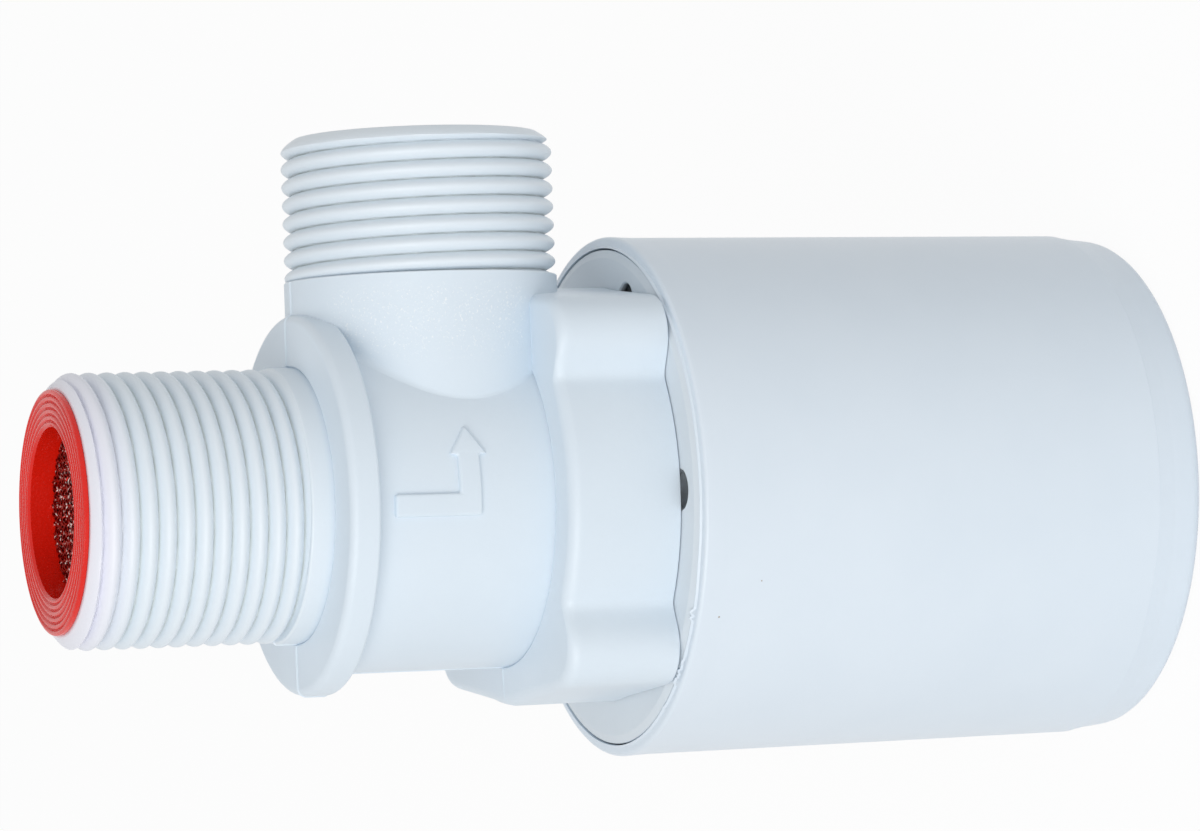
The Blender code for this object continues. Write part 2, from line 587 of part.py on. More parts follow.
def cover_screws():
    """Pan-head screws that come up from inside the casing into the lobes, with a cross recess."""
    arm = RECESS_ARM
    half = RECESS_WIDTH / 2
    corner = [(arm, -half), (arm, half), (half, half)]
    cross = [(x * c - y * s, x * s + y * c) for c, s in ((1, 0), (0, 1), (-1, 0), (0, -1)) for x, y in corner]
    shoulder = SCREW_HEAD_HEIGHT / 2
    top = SCREW_HEAD_HEIGHT + SCREW_LENGTH
    head_z = COVER_Z - COVER_PLATE - GAP - SCREW_HEAD_HEIGHT
    screws = []
    for number, (x, y) in enumerate(on_circle(SCREW_CIRCLE, LOBE_ANGLES), 1):
        screw = turned(f"cover_screw_{number}", [
            (0, 0), (SCREW_HEAD_RADIUS - SCREW_HEAD_BEVEL, 0), (SCREW_HEAD_RADIUS, shoulder),
            (SCREW_HEAD_RADIUS, SCREW_HEAD_HEIGHT), (SCREW_RADIUS, SCREW_HEAD_HEIGHT),
            (SCREW_RADIUS, top - SCREW_RADIUS), (SCREW_TIP, top), (0, top)],
            (x, y, head_z), HEAD_STEPS)
        recess = prism(f"recess_{number}", cross, RECESS_DEPTH + OVERLAP, (x, y, head_z - OVERLAP))
        combine(screw, recess, "DIFFERENCE")
        screws.append(screw)
    return screws


def pilot_nozzle():
    """Turned nozzle whose small orifice the float's pad shuts."""
    head_top = NOZZLE_TIP_LENGTH + NOZZLE_HEAD_HEIGHT
    top = head_top + NOZZLE_SHANK_LENGTH
    return turned("pilot_nozzle", [
        (NOZZLE_ORIFICE, top), (NOZZLE_SHANK, top), (NOZZLE_SHANK, head_top), (NOZZLE_HEAD, head_top),
        (NOZZLE_HEAD, NOZZLE_TIP_LENGTH), (NOZZLE_TIP, NOZZLE_TIP_LENGTH), (NOZZLE_TIP, 0),
        (NOZZLE_ORIFICE, 0)], (0, 0, NOZZLE_TIP_Z), SMALL_STEPS)


def nozzle_washer():
    """Sealing washer between the nozzle's head and the boss."""
    bore = NOZZLE_SHANK + GAP
    return turned("nozzle_washer", [
        (bore, WASHER_THICKNESS), (WASHER_RADIUS, WASHER_THICKNESS), (WASHER_RADIUS, 0), (bore, 0)],
        (0, 0, BOSS_Z - GAP - WASHER_THICKNESS), SMALL_STEPS)


def casing():
    """Tapered tube around the float, with a bead that snaps into the cover's groove."""
    slope = (CASING_BORE_RIM - CASING_BORE_FOOT) / CASING_LENGTH

    def bore(height):
        return CASING_BORE_FOOT + slope * height

    bead = CASING_LENGTH - SNAP_DEPTH
    bead_low = bead - SNAP_HALF_HEIGHT
    bead_high = bead + SNAP_HALF_HEIGHT
    return turned("casing", [
        (bore(CASING_LENGTH), CASING_LENGTH), (CASING_RIM_RADIUS, CASING_LENGTH), (CASING_FOOT_RADIUS, 0),
        (CASING_BORE_FOOT, 0), (bore(bead_low), bead_low), (COVER_RADIUS - SNAP_RISE + GAP, bead),
        (bore(bead_high), bead_high)], (0, 0, CASING_Z))


def end_cap():
    """Cap with the flat foot, a chamfered band, drain holes and a spigot inside the casing."""
    corner = CAP_CORNER
    spigot_inner = SPIGOT_RADIUS - SPIGOT_WALL
    spigot_z = CAP_HEIGHT + SPIGOT_RISE
    cap = turned("end_cap", [
        (0, CAP_FLOOR), (spigot_inner, CAP_FLOOR), (spigot_inner, spigot_z), (SPIGOT_RADIUS, spigot_z),
        (SPIGOT_RADIUS, CAP_HEIGHT), (CASING_FOOT_RADIUS, CAP_HEIGHT),
        ((CAP_RADIUS + CASING_FOOT_RADIUS) / 2, CAP_BAND),
        *arc((CAP_RADIUS - corner, corner), corner, 0, -90, EDGE_STEPS), (0, 0)])
    angles = [2 * math.pi * number / DRAIN_COUNT for number in range(DRAIN_COUNT)]
    holes = drills("drain_holes", on_circle(DRAIN_CIRCLE, angles), DRAIN_RADIUS, CAP_FLOOR + 2 * OVERLAP,
                   (0, 0, -OVERLAP), HEAD_STEPS)
    combine(cap, holes, "DIFFERENCE")
    return cap


def float_shell():
    """Hollow float cup with ribs that guide it in the casing."""
    inner = FLOAT_RADIUS - FLOAT_WALL
    shell = turned("float_shell", [
        (0, FLOAT_WALL), (inner, FLOAT_WALL), (inner, FLOAT_HEIGHT), (FLOAT_RADIUS, FLOAT_HEIGHT),
        (FLOAT_RADIUS, 0), (0, 0)], (0, 0, FLOAT_Z), MEDIUM_STEPS)
    root = FLOAT_RADIUS - FLOAT_WALL / 2
    middle = (root + RIB_RADIUS) / 2
    angles = [2 * math.pi * (number + 0.5) / FLOAT_RIBS for number in range(FLOAT_RIBS)]
    spots = [(angle, (*on_circle(middle, [angle])[0], FLOAT_HEIGHT / 2)) for angle in angles]
    rib_size = (RIB_RADIUS - root, RIB_WIDTH, FLOAT_HEIGHT - 2 * OVERLAP)
    ribs = boxes("float_ribs", rib_size, spots, (0, 0, FLOAT_Z))
    combine(shell, ribs, "UNION")
    return shell


def float_lid():
    """Lid that closes the float, with a spigot inside the cup and a hole for the pad holder."""
    spigot = FLOAT_RADIUS - FLOAT_WALL - GAP
    return turned("float_lid", [
        (HOLDER_HOLE, 0), (FLOAT_RADIUS, 0), (FLOAT_RADIUS, -LID_THICKNESS), (spigot, -LID_THICKNESS),
        (spigot, -LID_THICKNESS - LID_SPIGOT), (spigot - FLOAT_WALL, -LID_THICKNESS - LID_SPIGOT),
        (spigot - FLOAT_WALL, -LID_THICKNESS), (HOLDER_HOLE, -LID_THICKNESS)], (0, 0, LID_TOP_Z),
        MEDIUM_STEPS)


def pad_holder():
    """Cup on the lid that holds the rubber pad, with a stem through the lid."""
    inner = PAD_RADIUS + GAP
    outer = inner + HOLDER_WALL
    rim = HOLDER_FLOOR + HOLDER_LIP
    return turned("pad_holder", [
        (0, HOLDER_FLOOR), (inner, HOLDER_FLOOR), (inner, rim), (outer, rim), (outer, 0), (HOLDER_STEM, 0),
        (HOLDER_STEM, -HOLDER_STEM_LENGTH), (0, -HOLDER_STEM_LENGTH)], (0, 0, HOLDER_Z), SMALL_STEPS)


def pilot_pad():
    """Rubber pad on the float that shuts the pilot nozzle."""
    return turned("pilot_pad", [
        (0, PAD_THICKNESS), (PAD_RADIUS - PAD_BEVEL, PAD_THICKNESS), (PAD_RADIUS, PAD_THICKNESS - PAD_BEVEL),
        (PAD_RADIUS, 0), (0, 0)], (0, 0, PAD_TOP_Z - PAD_THICKNESS), SMALL_STEPS)


def main():
    """Clear the scene, make every piece and hang it on its carrier."""
    for obj in list(bpy.data.objects):
        bpy.data.objects.remove(obj)

    white = material("white_plastic", (0.66, 0.73, 0.80), 0.42)
    casing_white = material("casing_plastic", (0.68, 0.74, 0.80), 0.34)
    cover_white = material("cover_plastic", (0.60, 0.66, 0.72), 0.45)
    red = material("red_plastic", (0.65, 0.02, 0.015), 0.35)
    steel = material("stainless_wire", (0.55, 0.55, 0.55), 0.3, 1.0)
    zinc = material("zinc_plated_steel", (0.60, 0.60, 0.58), 0.35, 1.0)
    brass = material("brass", (0.70, 0.50, 0.22), 0.3, 1.0)
    rubber = material("black_rubber", (0.02, 0.02, 0.02), 0.8)
    natural = material("natural_acetal", (0.75, 0.74, 0.70), 0.5)

    fixed = carrier("fixed_pieces", 0)
    float_group = carrier("float_carrier", FLOAT_Z)
    valve_group = carrier("valve_disc_carrier", SEAT_Z)
    filter_group = carrier("filter_carrier", INLET_Z)

    finish(valve_body(), white, fixed)
    finish(pilot_cover(), cover_white, fixed)
    finish(casing(), casing_white, fixed)
    finish(end_cap(), casing_white, fixed)
    finish(diaphragm(), rubber, fixed)
    finish(bleed_pin(), steel, fixed)
    finish(pilot_nozzle(), brass, fixed)
    finish(nozzle_washer(), rubber, fixed)
    for screw in cover_screws():
        finish(screw, zinc, fixed)
    finish(filter_frame(), red, filter_group)
    finish(filter_mesh(), steel, filter_group)
    finish(diaphragm_plate(), natural, valve_group)
    finish(diaphragm_core(), natural, valve_group)
    finish(float_shell(), white, float_group)
    finish(float_lid(), white, float_group)
    finish(pad_holder(), natural, float_group)
    finish(pilot_pad(), rubber, float_group)


main()
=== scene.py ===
# %% [markdown]
# # A float valve, dressed for the eye
#
# The solids of this valve are already packed as a frame, which knows what each piece weighs and how it
# moves. This lesson makes the surfaces over that frame: moulded threads, soft fillets, a woven strainer
# and the plastics themselves. Sizes are in millimetres and are turned into metres where a mesh is made.

# %% Load the frame
import cmath
import math
from collections import Counter

import bmesh
import bpy
import numpy as np
from mathutils import Matrix, Vector


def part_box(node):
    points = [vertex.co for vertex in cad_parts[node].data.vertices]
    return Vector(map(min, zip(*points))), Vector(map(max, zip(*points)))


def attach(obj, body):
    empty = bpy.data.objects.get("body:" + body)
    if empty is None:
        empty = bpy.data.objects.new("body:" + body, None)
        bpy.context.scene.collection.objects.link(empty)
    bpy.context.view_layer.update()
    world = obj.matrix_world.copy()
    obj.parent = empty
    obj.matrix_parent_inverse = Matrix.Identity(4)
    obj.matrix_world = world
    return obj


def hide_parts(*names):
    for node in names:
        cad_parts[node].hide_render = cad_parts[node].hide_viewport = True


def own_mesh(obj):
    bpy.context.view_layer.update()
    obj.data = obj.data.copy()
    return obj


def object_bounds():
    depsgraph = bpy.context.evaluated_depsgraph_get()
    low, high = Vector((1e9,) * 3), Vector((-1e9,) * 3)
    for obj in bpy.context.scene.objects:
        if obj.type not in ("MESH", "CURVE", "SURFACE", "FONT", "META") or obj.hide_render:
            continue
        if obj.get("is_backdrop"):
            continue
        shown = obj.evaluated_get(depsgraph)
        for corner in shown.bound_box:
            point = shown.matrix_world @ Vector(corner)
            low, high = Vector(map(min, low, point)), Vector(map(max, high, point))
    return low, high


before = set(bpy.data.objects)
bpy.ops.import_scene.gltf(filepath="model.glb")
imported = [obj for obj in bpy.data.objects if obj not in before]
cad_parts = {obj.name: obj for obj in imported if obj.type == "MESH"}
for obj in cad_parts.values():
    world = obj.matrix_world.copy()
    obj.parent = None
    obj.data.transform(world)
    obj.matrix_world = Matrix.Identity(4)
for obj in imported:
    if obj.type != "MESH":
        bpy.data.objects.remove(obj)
cad_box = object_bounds()

# %% [markdown]
# ## Sizes from the frame
#
# Each piece has to sit exactly where its solid sits, because the solid is what collides and moves. So the
# outer sizes are read from the boxes of the solids, and only what a box can't tell is written down here.

# %% Read the boxes
MM = 0.001


def box_mm(node):
    """Lowest and highest corner of a solid, in millimetres."""
    return [[value / MM for value in corner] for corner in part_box(node)]


body_low, body_high = box_mm("valve_body")
cap_high = box_mm("end_cap")[1]
casing_high = box_mm("casing")[1]
cover_low, cover_high = box_mm("pilot_cover")
strainer_low, strainer_high = box_mm("filter_frame")
net_low, net_high = box_mm("filter_mesh")
print("valve body from", round(body_low[2], 2), "to", round(body_high[2], 2), "mm")

# %% [markdown]
# ## One function for nodes, one for colours
#
# A node tree can be built with a helper for every kind of node, but then the reader has to learn the
# helpers. One function that adds any node, sets its settings and links its inputs is enough for shaders
# and for Geometry Nodes alike. Colours are written as they look on a screen, so a second function turns
# them into the linear values that a shader wants.

# %% Add a node, read a colour
MATH = "ShaderNodeMath"
VECTOR_MATH = "ShaderNodeVectorMath"
COMBINE_XYZ = "ShaderNodeCombineXYZ"
SEPARATE_XYZ = "ShaderNodeSeparateXYZ"
MAP_RANGE = "ShaderNodeMapRange"
NOISE = "ShaderNodeTexNoise"
MIX = "ShaderNodeMix"


def add(tree, kind, inputs=None, **settings):
    """Add one node. An input is a value, a socket, or a node whose first output feeds it."""
    node = tree.nodes.new(kind)
    for name, value in settings.items():
        setattr(node, name, value)
    for key, value in (inputs or {}).items():
        if isinstance(value, bpy.types.Node):
            value = value.outputs[0]
        if isinstance(value, bpy.types.NodeSocket):
            tree.links.new(value, node.inputs[key])
        else:
            node.inputs[key].default_value = value
    return node


def colour(code):
    """Linear colour of an sRGB hex code."""
    parts = [int(code[start:start + 2], 16) / 255 for start in (0, 2, 4)]
    return [part / 12.92 if part <= 0.04045 else ((part + 0.055) / 1.055) ** 2.4 for part in parts] + [1]


def per_metre(size):
    """Texture scale that gives features of a size in millimetres."""
    return 1 / (size * MM)


print("mid white is", [round(part, 3) for part in colour("D2DEEA")])

# %% [markdown]
# ## Plastics and rubber
#
# Body, casing and cover are injection moulded ABS, a hard plastic that is opaque and a little cold in its
# white. The float is polypropylene, the small inner pieces are acetal and the seals are nitrile rubber. A
# mould is spark eroded, so the skin is no mirror: it has a fine grain, and the flow in the mould leaves
# broad, very weak clouds. The real grain is finer than a pixel, so it is drawn about 0.3 mm wide, coarse
# enough to show. One function makes the family, because its finishes differ only in tone, gloss and grain.

# %% Moulded plastic
BROAD_CLOUDS = (9.0, 0.0, 1.0)
SPECK_CELL = 11.0
SPECK_RADIUS = 0.12
PLASTIC_IOR = 1.53
PLASTIC_SHINE = 0.5


def cleared(owner):
    """The emptied node tree of a material or a world."""
    owner.use_nodes = True
    owner.node_tree.nodes.clear()
    return owner.node_tree


def grained(name, light, dark, gloss, grain, relief, speck=None, clouds=BROAD_CLOUDS):
    """A finish with clouds between two tones, a range of roughness and a grain in millimetres."""
    made = bpy.data.materials.new(name)
    tree = cleared(made)
    place = add(tree, "ShaderNodeTexCoord").outputs["Object"]
    size, thin, thick = clouds
    cloud = add(tree, NOISE, {"Vector": place, "Scale": per_metre(size), "Detail": 3.0})
    share = add(tree, MAP_RANGE, {"Value": cloud, "From Min": thin, "From Max": thick})
    tone = add(tree, MIX, {0: share, 6: colour(dark), 7: colour(light)}, data_type="RGBA").outputs[2]
    if speck:
        crumb = add(tree, "ShaderNodeTexVoronoi", {"Vector": place, "Scale": per_metre(SPECK_CELL)})
        dirty = add(tree, MATH, {0: crumb, 1: SPECK_RADIUS / SPECK_CELL}, operation="LESS_THAN")
        tone = add(tree, MIX, {0: dirty, 6: tone, 7: colour(speck)}, data_type="RGBA").outputs[2]
    pits = add(tree, NOISE, {"Vector": place, "Scale": per_metre(grain), "Detail": 2.0})
    dull = add(tree, MAP_RANGE, {"Value": pits, "To Min": gloss[0], "To Max": gloss[1]})
    bump = add(tree, "ShaderNodeBump", {"Height": pits, "Strength": 1.0, "Distance": relief * MM})
    shader = add(tree, "ShaderNodeBsdfPrincipled", {"Base Color": tone, "Roughness": dull, "Normal": bump})
    add(tree, "ShaderNodeOutputMaterial", {"Surface": shader})
    return made, shader


def moulded(*recipe, shine=PLASTIC_SHINE, **extras):
    """A plastic: what grained makes, under the mirror of a resin."""
    made, shader = grained(*recipe, **extras)
    shader.inputs["IOR"].default_value = PLASTIC_IOR
    shader.inputs["Specular IOR Level"].default_value = shine
    return made


print("ready to mould plastics with an index of refraction of", PLASTIC_IOR)

# %% The valve's plastics
# The casing's mould was polished, so it has a soft sheen. A few specks of dirt stick to it.
casing_plastic = moulded("moulded_abs_casing", "E4EEF7", "DEE9F3", (0.30, 0.42), 0.40, 0.006, speck="B4ACA5")
# The cover comes from a rougher mould and looks greyer and duller.
cover_plastic = moulded("moulded_abs_cover", "E2EAF0", "DAE3EA", (0.40, 0.55), 0.28, 0.010)
# Polypropylene is waxy: its highlight is broad and soft.
float_plastic = moulded("moulded_polypropylene_float", "E6ECEF", "DDE4E8", (0.38, 0.50), 0.35, 0.008)
# Natural acetal is a warm white and slippery, so it shines a little.
acetal = moulded("moulded_natural_acetal", "EFEDE4", "E6E3D8", (0.30, 0.42), 0.30, 0.006)
# Nitrile rubber is almost black and spreads what it reflects.
rubber = moulded("moulded_nitrile_rubber", "242425", "1B1B1C", (0.62, 0.80), 0.30, 0.010)
print("plastics made:", casing_plastic.name, cover_plastic.name, float_plastic.name)

# %% [markdown]
# ## The body's plastic
#
# The body comes out of its mould with several skins. The barrel is finely grained. The outlet stub was
# left coarser by the spark tool, and pale painted glints stand for its glitter. The threads come from
# polished inserts: their crests are a little paler, and their grooves are darkened by painted shade. Next
# to the red ring the end of the inlet gets painted light, a little paler and warmer. Each skin and each
# painted light could be its own material, but then hard borders would show. So one material knows them
# by their place on the object and lays one tone over another through soft masks.

# %% Zones of the body
# A border is an axis and the two places between which a mask grows from none to full.
OUTLET_BORDER = ("X", 21.5, 21.8)
INLET_BORDER = ("Z", 85.7, 86.3)
# Where the painted light on the end of the inlet grows in
PAINTED_LIGHT_BORDER = ("Z", 104.4, 107.6)
STUB_BORDERS = (("X", 12.5, 15.5), ("X", 21.2, 19.4), ("Z", 64.8, 66.0), ("Z", 83.6, 82.6))
OUTLET_TIP_BORDER = ("X", 34.4, 33.9)
INLET_TIP_BORDER = ("Z", 107.4, 106.6)
OUTLET_AXIS = (0, 0, 71.73 * MM)
INLET_AXIS = (0, 0, 0)
# Radii between which the painted shade of a groove fades in
GROOVE_SHADE_FLOOR = 12.05
GROOVE_SHADE_TOP = 12.55

body_plastic = moulded("moulded_abs_body", "E3EEF7", "DCE8F2", (0.36, 0.52), 0.28, 0.012, speck="8F8882")
body_tree = body_plastic.node_tree
body_shader = body_tree.nodes["Principled BSDF"]
body_place = add(body_tree, "ShaderNodeTexCoord").outputs["Object"]
body_axes = add(body_tree, SEPARATE_XYZ, {0: body_place}).outputs


def zone(*borders, either=False):
    """Mask of a part of the body: within all of its borders, or within either of them."""
    mask = 0.0 if either else 1.0
    for axis, start, end in borders:
        inside = add(body_tree, MAP_RANGE, {
            "Value": body_axes[axis], "From Min": start * MM, "From Max": end * MM})
        mask = add(body_tree, MATH, {0: mask, 1: inside}, operation="MAXIMUM" if either else "MULTIPLY")
    return mask


def grooves(axis_point, directions, *borders):
    """Mask of the painted shade in the grooves of a thread: near its root, measured across its axis."""
    offset = add(body_tree, VECTOR_MATH, {0: body_place, 1: axis_point}, operation="SUBTRACT")
    flat = add(body_tree, VECTOR_MATH, {0: offset, 1: directions}, operation="MULTIPLY")
    distance = add(body_tree, VECTOR_MATH, {0: flat}, operation="LENGTH").outputs["Value"]
    deep = add(body_tree, MAP_RANGE, {
        "Value": distance, "From Min": GROOVE_SHADE_TOP * MM, "From Max": GROOVE_SHADE_FLOOR * MM})
    return add(body_tree, MATH, {0: deep, 1: zone(*borders)}, operation="MULTIPLY")


on_stub = zone(*STUB_BORDERS)
print("zones of the body use", len(body_tree.nodes), "nodes so far")

# %% Tones of the body
GLITTER_SIZE = 0.24
GLITTER_RELIEF = 0.035
GLINT_PAINT_FROM = 0.58
GLINT_PAINT_FULL = 0.72

# The grit gives the stub its coarse grain. Where it peaks, the stub is painted paler, as painted glints.
grit = add(body_tree, NOISE, {"Vector": body_place, "Scale": per_metre(GLITTER_SIZE), "Detail": 3.0})
painted_glint = add(body_tree, MAP_RANGE, {"Value": grit, "From Min": GLINT_PAINT_FROM, "From Max": GLINT_PAINT_FULL})
body_layers = (
    (zone(OUTLET_BORDER, INLET_BORDER, either=True), "E6EFF6"),
    # Painted shade in the grooves of both threads, darker on the outlet
    (grooves(OUTLET_AXIS, (0, 1, 1), OUTLET_BORDER, OUTLET_TIP_BORDER), "C8CECC"),
    (grooves(INLET_AXIS, (1, 1, 0), INLET_BORDER, INLET_TIP_BORDER), "E2E7E2"),
    # Painted light on the end of the inlet, a little paler and warmer
    (zone(PAINTED_LIGHT_BORDER), "EFF0F9"),
    # Painted glints on the outlet stub
    (add(body_tree, MATH, {0: painted_glint, 1: on_stub}, operation="MULTIPLY"), "F3F9FD"),
)
body_tone = body_shader.inputs["Base Color"].links[0].from_socket
for mask, code in body_layers:
    body_tone = add(body_tree, MIX, {0: mask, 6: body_tone, 7: colour(code)}, data_type="RGBA").outputs[2]
fine_grain = body_shader.inputs["Normal"].links[0].from_socket
coarse_grain = add(body_tree, "ShaderNodeBump", {
    "Height": grit, "Strength": on_stub, "Distance": GLITTER_RELIEF * MM, "Normal": fine_grain})
body_tree.links.new(body_tone, body_shader.inputs["Base Color"])
body_tree.links.new(coarse_grain.outputs[0], body_shader.inputs["Normal"])
print("body plastic has", len(body_layers), "layers of tone and", len(body_tree.nodes), "nodes")

# %% [markdown]
# ## Red strainer plastic
#
# The strainer ring is moulded from red polyethylene. Its colour is strong, and its sheen is weaker than
# that of ABS, because the surface is waxy. A pebbled grain breaks that sheen up, so that the ring looks
# pink where it is seen at a low angle and deep red inside its hole.

# %% Red plastic
WAXY_SHINE = 0.34

red_plastic = moulded(
    "moulded_red_polyethylene", "EC1F0C", "D8180A", (0.18, 0.34), 0.30, 0.03, shine=WAXY_SHINE)
print("red made:", red_plastic.name)

# %% [markdown]
# ## Metals
#
# The net and the bleed pin are drawn stainless wire, the screws are zinc plated steel and the pilot
# nozzle is turned brass. A metal has no colour of its own below its reflection, so its metallic value is
# one, its index of refraction stays at the default, and what the eye reads is the roughness. The lines
# of drawing and turning are finer than a pixel, so patches about 0.2 mm wide stand for them, coarse
# enough to show. The net's wire is painted dark red between bright spots, a painted reflection of the
# ring. The function behind the plastics serves here too.

# %% Metals
# Size and spread of the patches of painted reflection on the net's wire
PAINTED_REFLECTION_PATCHES = (0.5, 0.55, 0.70)


def metal(*recipe, **extras):
    """A metal: what grained makes, with nothing but its reflection."""
    made, shader = grained(*recipe, **extras)
    shader.inputs["Metallic"].default_value = 1.0
    return made


# The net's wire is bright only in spots. Between them it is painted dark red, a painted reflection of the
# ring.
wire_steel = metal("drawn_stainless_wire", "E4D6D0", "841A14", (0.10, 0.24), 0.15, 0.003, clouds=PAINTED_REFLECTION_PATCHES)
# Clean drawn wire has a narrow highlight along its length.
pin_steel = metal("drawn_stainless_pin", "D2D3D3", "BFC1C2", (0.18, 0.30), 0.15, 0.002)
# Zinc plate is greyer and duller, with a patchy grain.
zinc_steel = metal("zinc_plated_steel", "C9CBC8", "B4B7B5", (0.26, 0.44), 0.30, 0.004)
# Turned brass is a bright yellow with a fairly sharp highlight.
brass = metal("turned_brass", "D9B968", "C6A251", (0.18, 0.34), 0.20, 0.004)
print("metals made:", wire_steel.name, pin_steel.name, zinc_steel.name, brass.name)

# %% [markdown]
# ## From outline to mesh
#
# Most of the valve was turned or moulded round an axis. Blender can spin a profile with an operator or
# with the Screw modifier. Here rings of points are skinned directly, because the same function then
# also makes rings that are not round, such as the lobed flange. Most corners get the radius of a real
# edge, from a hair's width to a soft shoulder.

# %% Rounded outlines
# Corner radii in millimetres
HAIR = 0.02
CRISP = 0.1
KEEN = 0.15
FINE = 0.2
NEAT = 0.3
SOFT = 0.4
FULL = 0.5
BROAD = 0.6
WIDE = 0.8
DEEP = 0.9
CORNER_STEPS = 5


def rounded(points, steps=CORNER_STEPS):
    """Outline of (radius, height) points, with an arc at each point that has a third value, its corner."""
    outline = []
    for index, point in enumerate(points):
        here = complex(*point[:2])
        if len(point) == 2:
            outline.append(here)
            continue
        back = complex(*points[index - 1][:2]) - here
        ahead = complex(*points[(index + 1) % len(points)][:2]) - here
        back /= abs(back)
        ahead /= abs(ahead)
        half = abs(cmath.phase(ahead / back)) / 2
        reach = point[2] / math.tan(half)
        hub = here + (back + ahead) / abs(back + ahead) * point[2] / math.sin(half)
        start = here + back * reach - hub
        turn = cmath.phase((here + ahead * reach - hub) / start)
        outline += [hub + start * cmath.exp(1j * turn * step / steps) for step in range(steps + 1)]
    return np.array([(point.real, point.imag) for point in outline])


print("outline of one rounded corner:", len(rounded([(0, 0), (1, 0, FINE), (1, 1)])), "points")

# %% Skins and turned forms
MERGE_GAP = 0.0001


def put(name, data):
    """A new object in the scene."""
    made = bpy.data.objects.new(name, data)
    bpy.context.scene.collection.objects.link(made)
    return made


def surface(name, rings, closed=True):
    """Skin a list of rings in millimetres, joined end to end or capped at both ends."""
    count = len(rings[0])
    points = np.concatenate(rings) * MM
    bands = [(row, row + 1) for row in range(len(rings) - 1)]
    if closed:
        bands.append((len(rings) - 1, 0))
    faces = []
    for here, there in bands:
        for step in range(count):
            after = (step + 1) % count
            quad = (here * count + step, here * count + after, there * count + after, there * count + step)
            faces.append(quad)
    if not closed:
        faces += [range(count), range(len(points) - count, len(points))]
    mesh = bpy.data.meshes.new(name)
    mesh.from_pydata(points.tolist(), [], [list(face) for face in faces])
    bm = bmesh.new()
    bm.from_mesh(mesh)
    bmesh.ops.remove_doubles(bm, verts=bm.verts, dist=MERGE_GAP * MM)
    bmesh.ops.delete(bm, geom=[edge for edge in bm.edges if not edge.link_faces], context="EDGES")
    bmesh.ops.recalc_face_normals(bm, faces=bm.faces)
    bm.to_mesh(mesh)
    bm.free()
    return put(name, mesh)


def turned(name, points, steps=192):
    """Spin a closed outline of (radius, height, corner) points about the axis."""
    angle = np.arange(steps) * math.tau / steps
    rings = []
    for radius, height in rounded(points):
        level = np.full(steps, height)
        rings.append(np.column_stack((radius * np.cos(angle), radius * np.sin(angle), level)))
    return surface(name, rings)


def shifted(piece, x=0, z=0):
    """Move a piece's mesh by millimetres and leave its origin where it is."""
    piece.data.transform(Matrix.Translation((x * MM, 0, z * MM)))
    return piece


print("ready to skin rings and to turn outlines")

# %% [markdown]
# ## Joining, cutting and dressing
#
# A moulding is one solid, so its forms are united and its holes are cut with the exact Boolean, which
# leaves a closed mesh once slits without width are welded. Dressing a piece smooths its shading, gives it
# its finish, hangs it on the body it moves with and names the solid that it stands for.

# %% Combine and dress
WELD_GAP = 0.001
SHARP = math.radians(34)


def settle(piece):
    """Turn a piece with modifiers into the plain mesh that they give."""
    view = bpy.context.evaluated_depsgraph_get()
    mesh = bpy.data.meshes.new_from_object(piece.evaluated_get(view))
    piece.modifiers.clear()
    piece.data = mesh
    mesh.name = piece.name
    return piece


def combine(piece, operation, *tools):
    """Unite a piece with tools, or cut them out of it, and remove the tools."""
    for tool in tools:
        change = piece.modifiers.new(tool.name, "BOOLEAN")
        change.operation = operation
        change.solver = "EXACT"
        change.object = tool
    weld = piece.modifiers.new("weld", "WELD")
    weld.merge_threshold = WELD_GAP * MM
    settle(piece)
    for tool in tools:
        bpy.data.objects.remove(tool)
    return piece


def dress(piece, finish, body, slot, *nodes):
    """Give a piece its shading, finish and body, and say which solids it stands for."""
    piece.data.shade_smooth()
    piece.data.set_sharp_from_angle(angle=SHARP)
    even = piece.modifiers.new("even_normals", "WEIGHTED_NORMAL")
    even.keep_sharp = True
    settle(piece)
    piece.data.materials.clear()
    piece.data.materials.append(finish)
    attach(piece, body)
    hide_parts(*nodes)
    triangles = sum(len(face.vertices) - 2 for face in piece.data.polygons)
    uses = Counter(key for face in piece.data.polygons for key in face.edge_keys)
    loose = sum(count != 2 for count in uses.values())
    print(f"{piece.name}: {triangles} triangles, {loose} open edges, for {', '.join(nodes)}")
    return piece


print("ready to join, cut and dress")

# %% [markdown]
# ## Geometry Nodes for what repeats
#
# Screws, vents, drains and ribs stand in a ring about the axis. One tree makes any such ring: it sets
# points on a circle, puts a copy of a shape on each and turns it outwards. It ends in Realize Instances,
# so that the copies become real faces, and in Set Material.

# %% Start a tree, end it, use it


def new_tree(name, sizes):
    """A Geometry Nodes tree with a named input for each size, and the sockets of those inputs."""
    tree = bpy.data.node_groups.new(name, "GeometryNodeTree")
    for label, kind in sizes.items():
        tree.interface.new_socket(label, in_out="INPUT", socket_type="NodeSocket" + kind)
    tree.interface.new_socket("Geometry", in_out="OUTPUT", socket_type="NodeSocketGeometry")
    return tree, add(tree, "NodeGroupInput").outputs


def end_tree(tree, geometry, finish):
    """Realize the copies, set the material and hand the geometry out."""
    real = add(tree, "GeometryNodeRealizeInstances", {0: geometry})
    dressed = add(tree, "GeometryNodeSetMaterial", {"Geometry": real, "Material": finish})
    add(tree, "NodeGroupOutput", {0: dressed})
    return tree


def made_by(name, tree, **sizes):
    """A piece made by a tree, with its inputs set by identifier before it is first evaluated."""
    piece = put(name, bpy.data.meshes.new(name))
    maker = piece.modifiers.new(tree.name, "NODES")
    maker.node_group = tree
    for item in tree.interface.items_tree:
        if item.in_out == "INPUT":
            maker[item.identifier] = sizes[item.name.lower().replace(" ", "_")]
    return settle(piece)


print("ready to build trees")

# %% Ring of copies


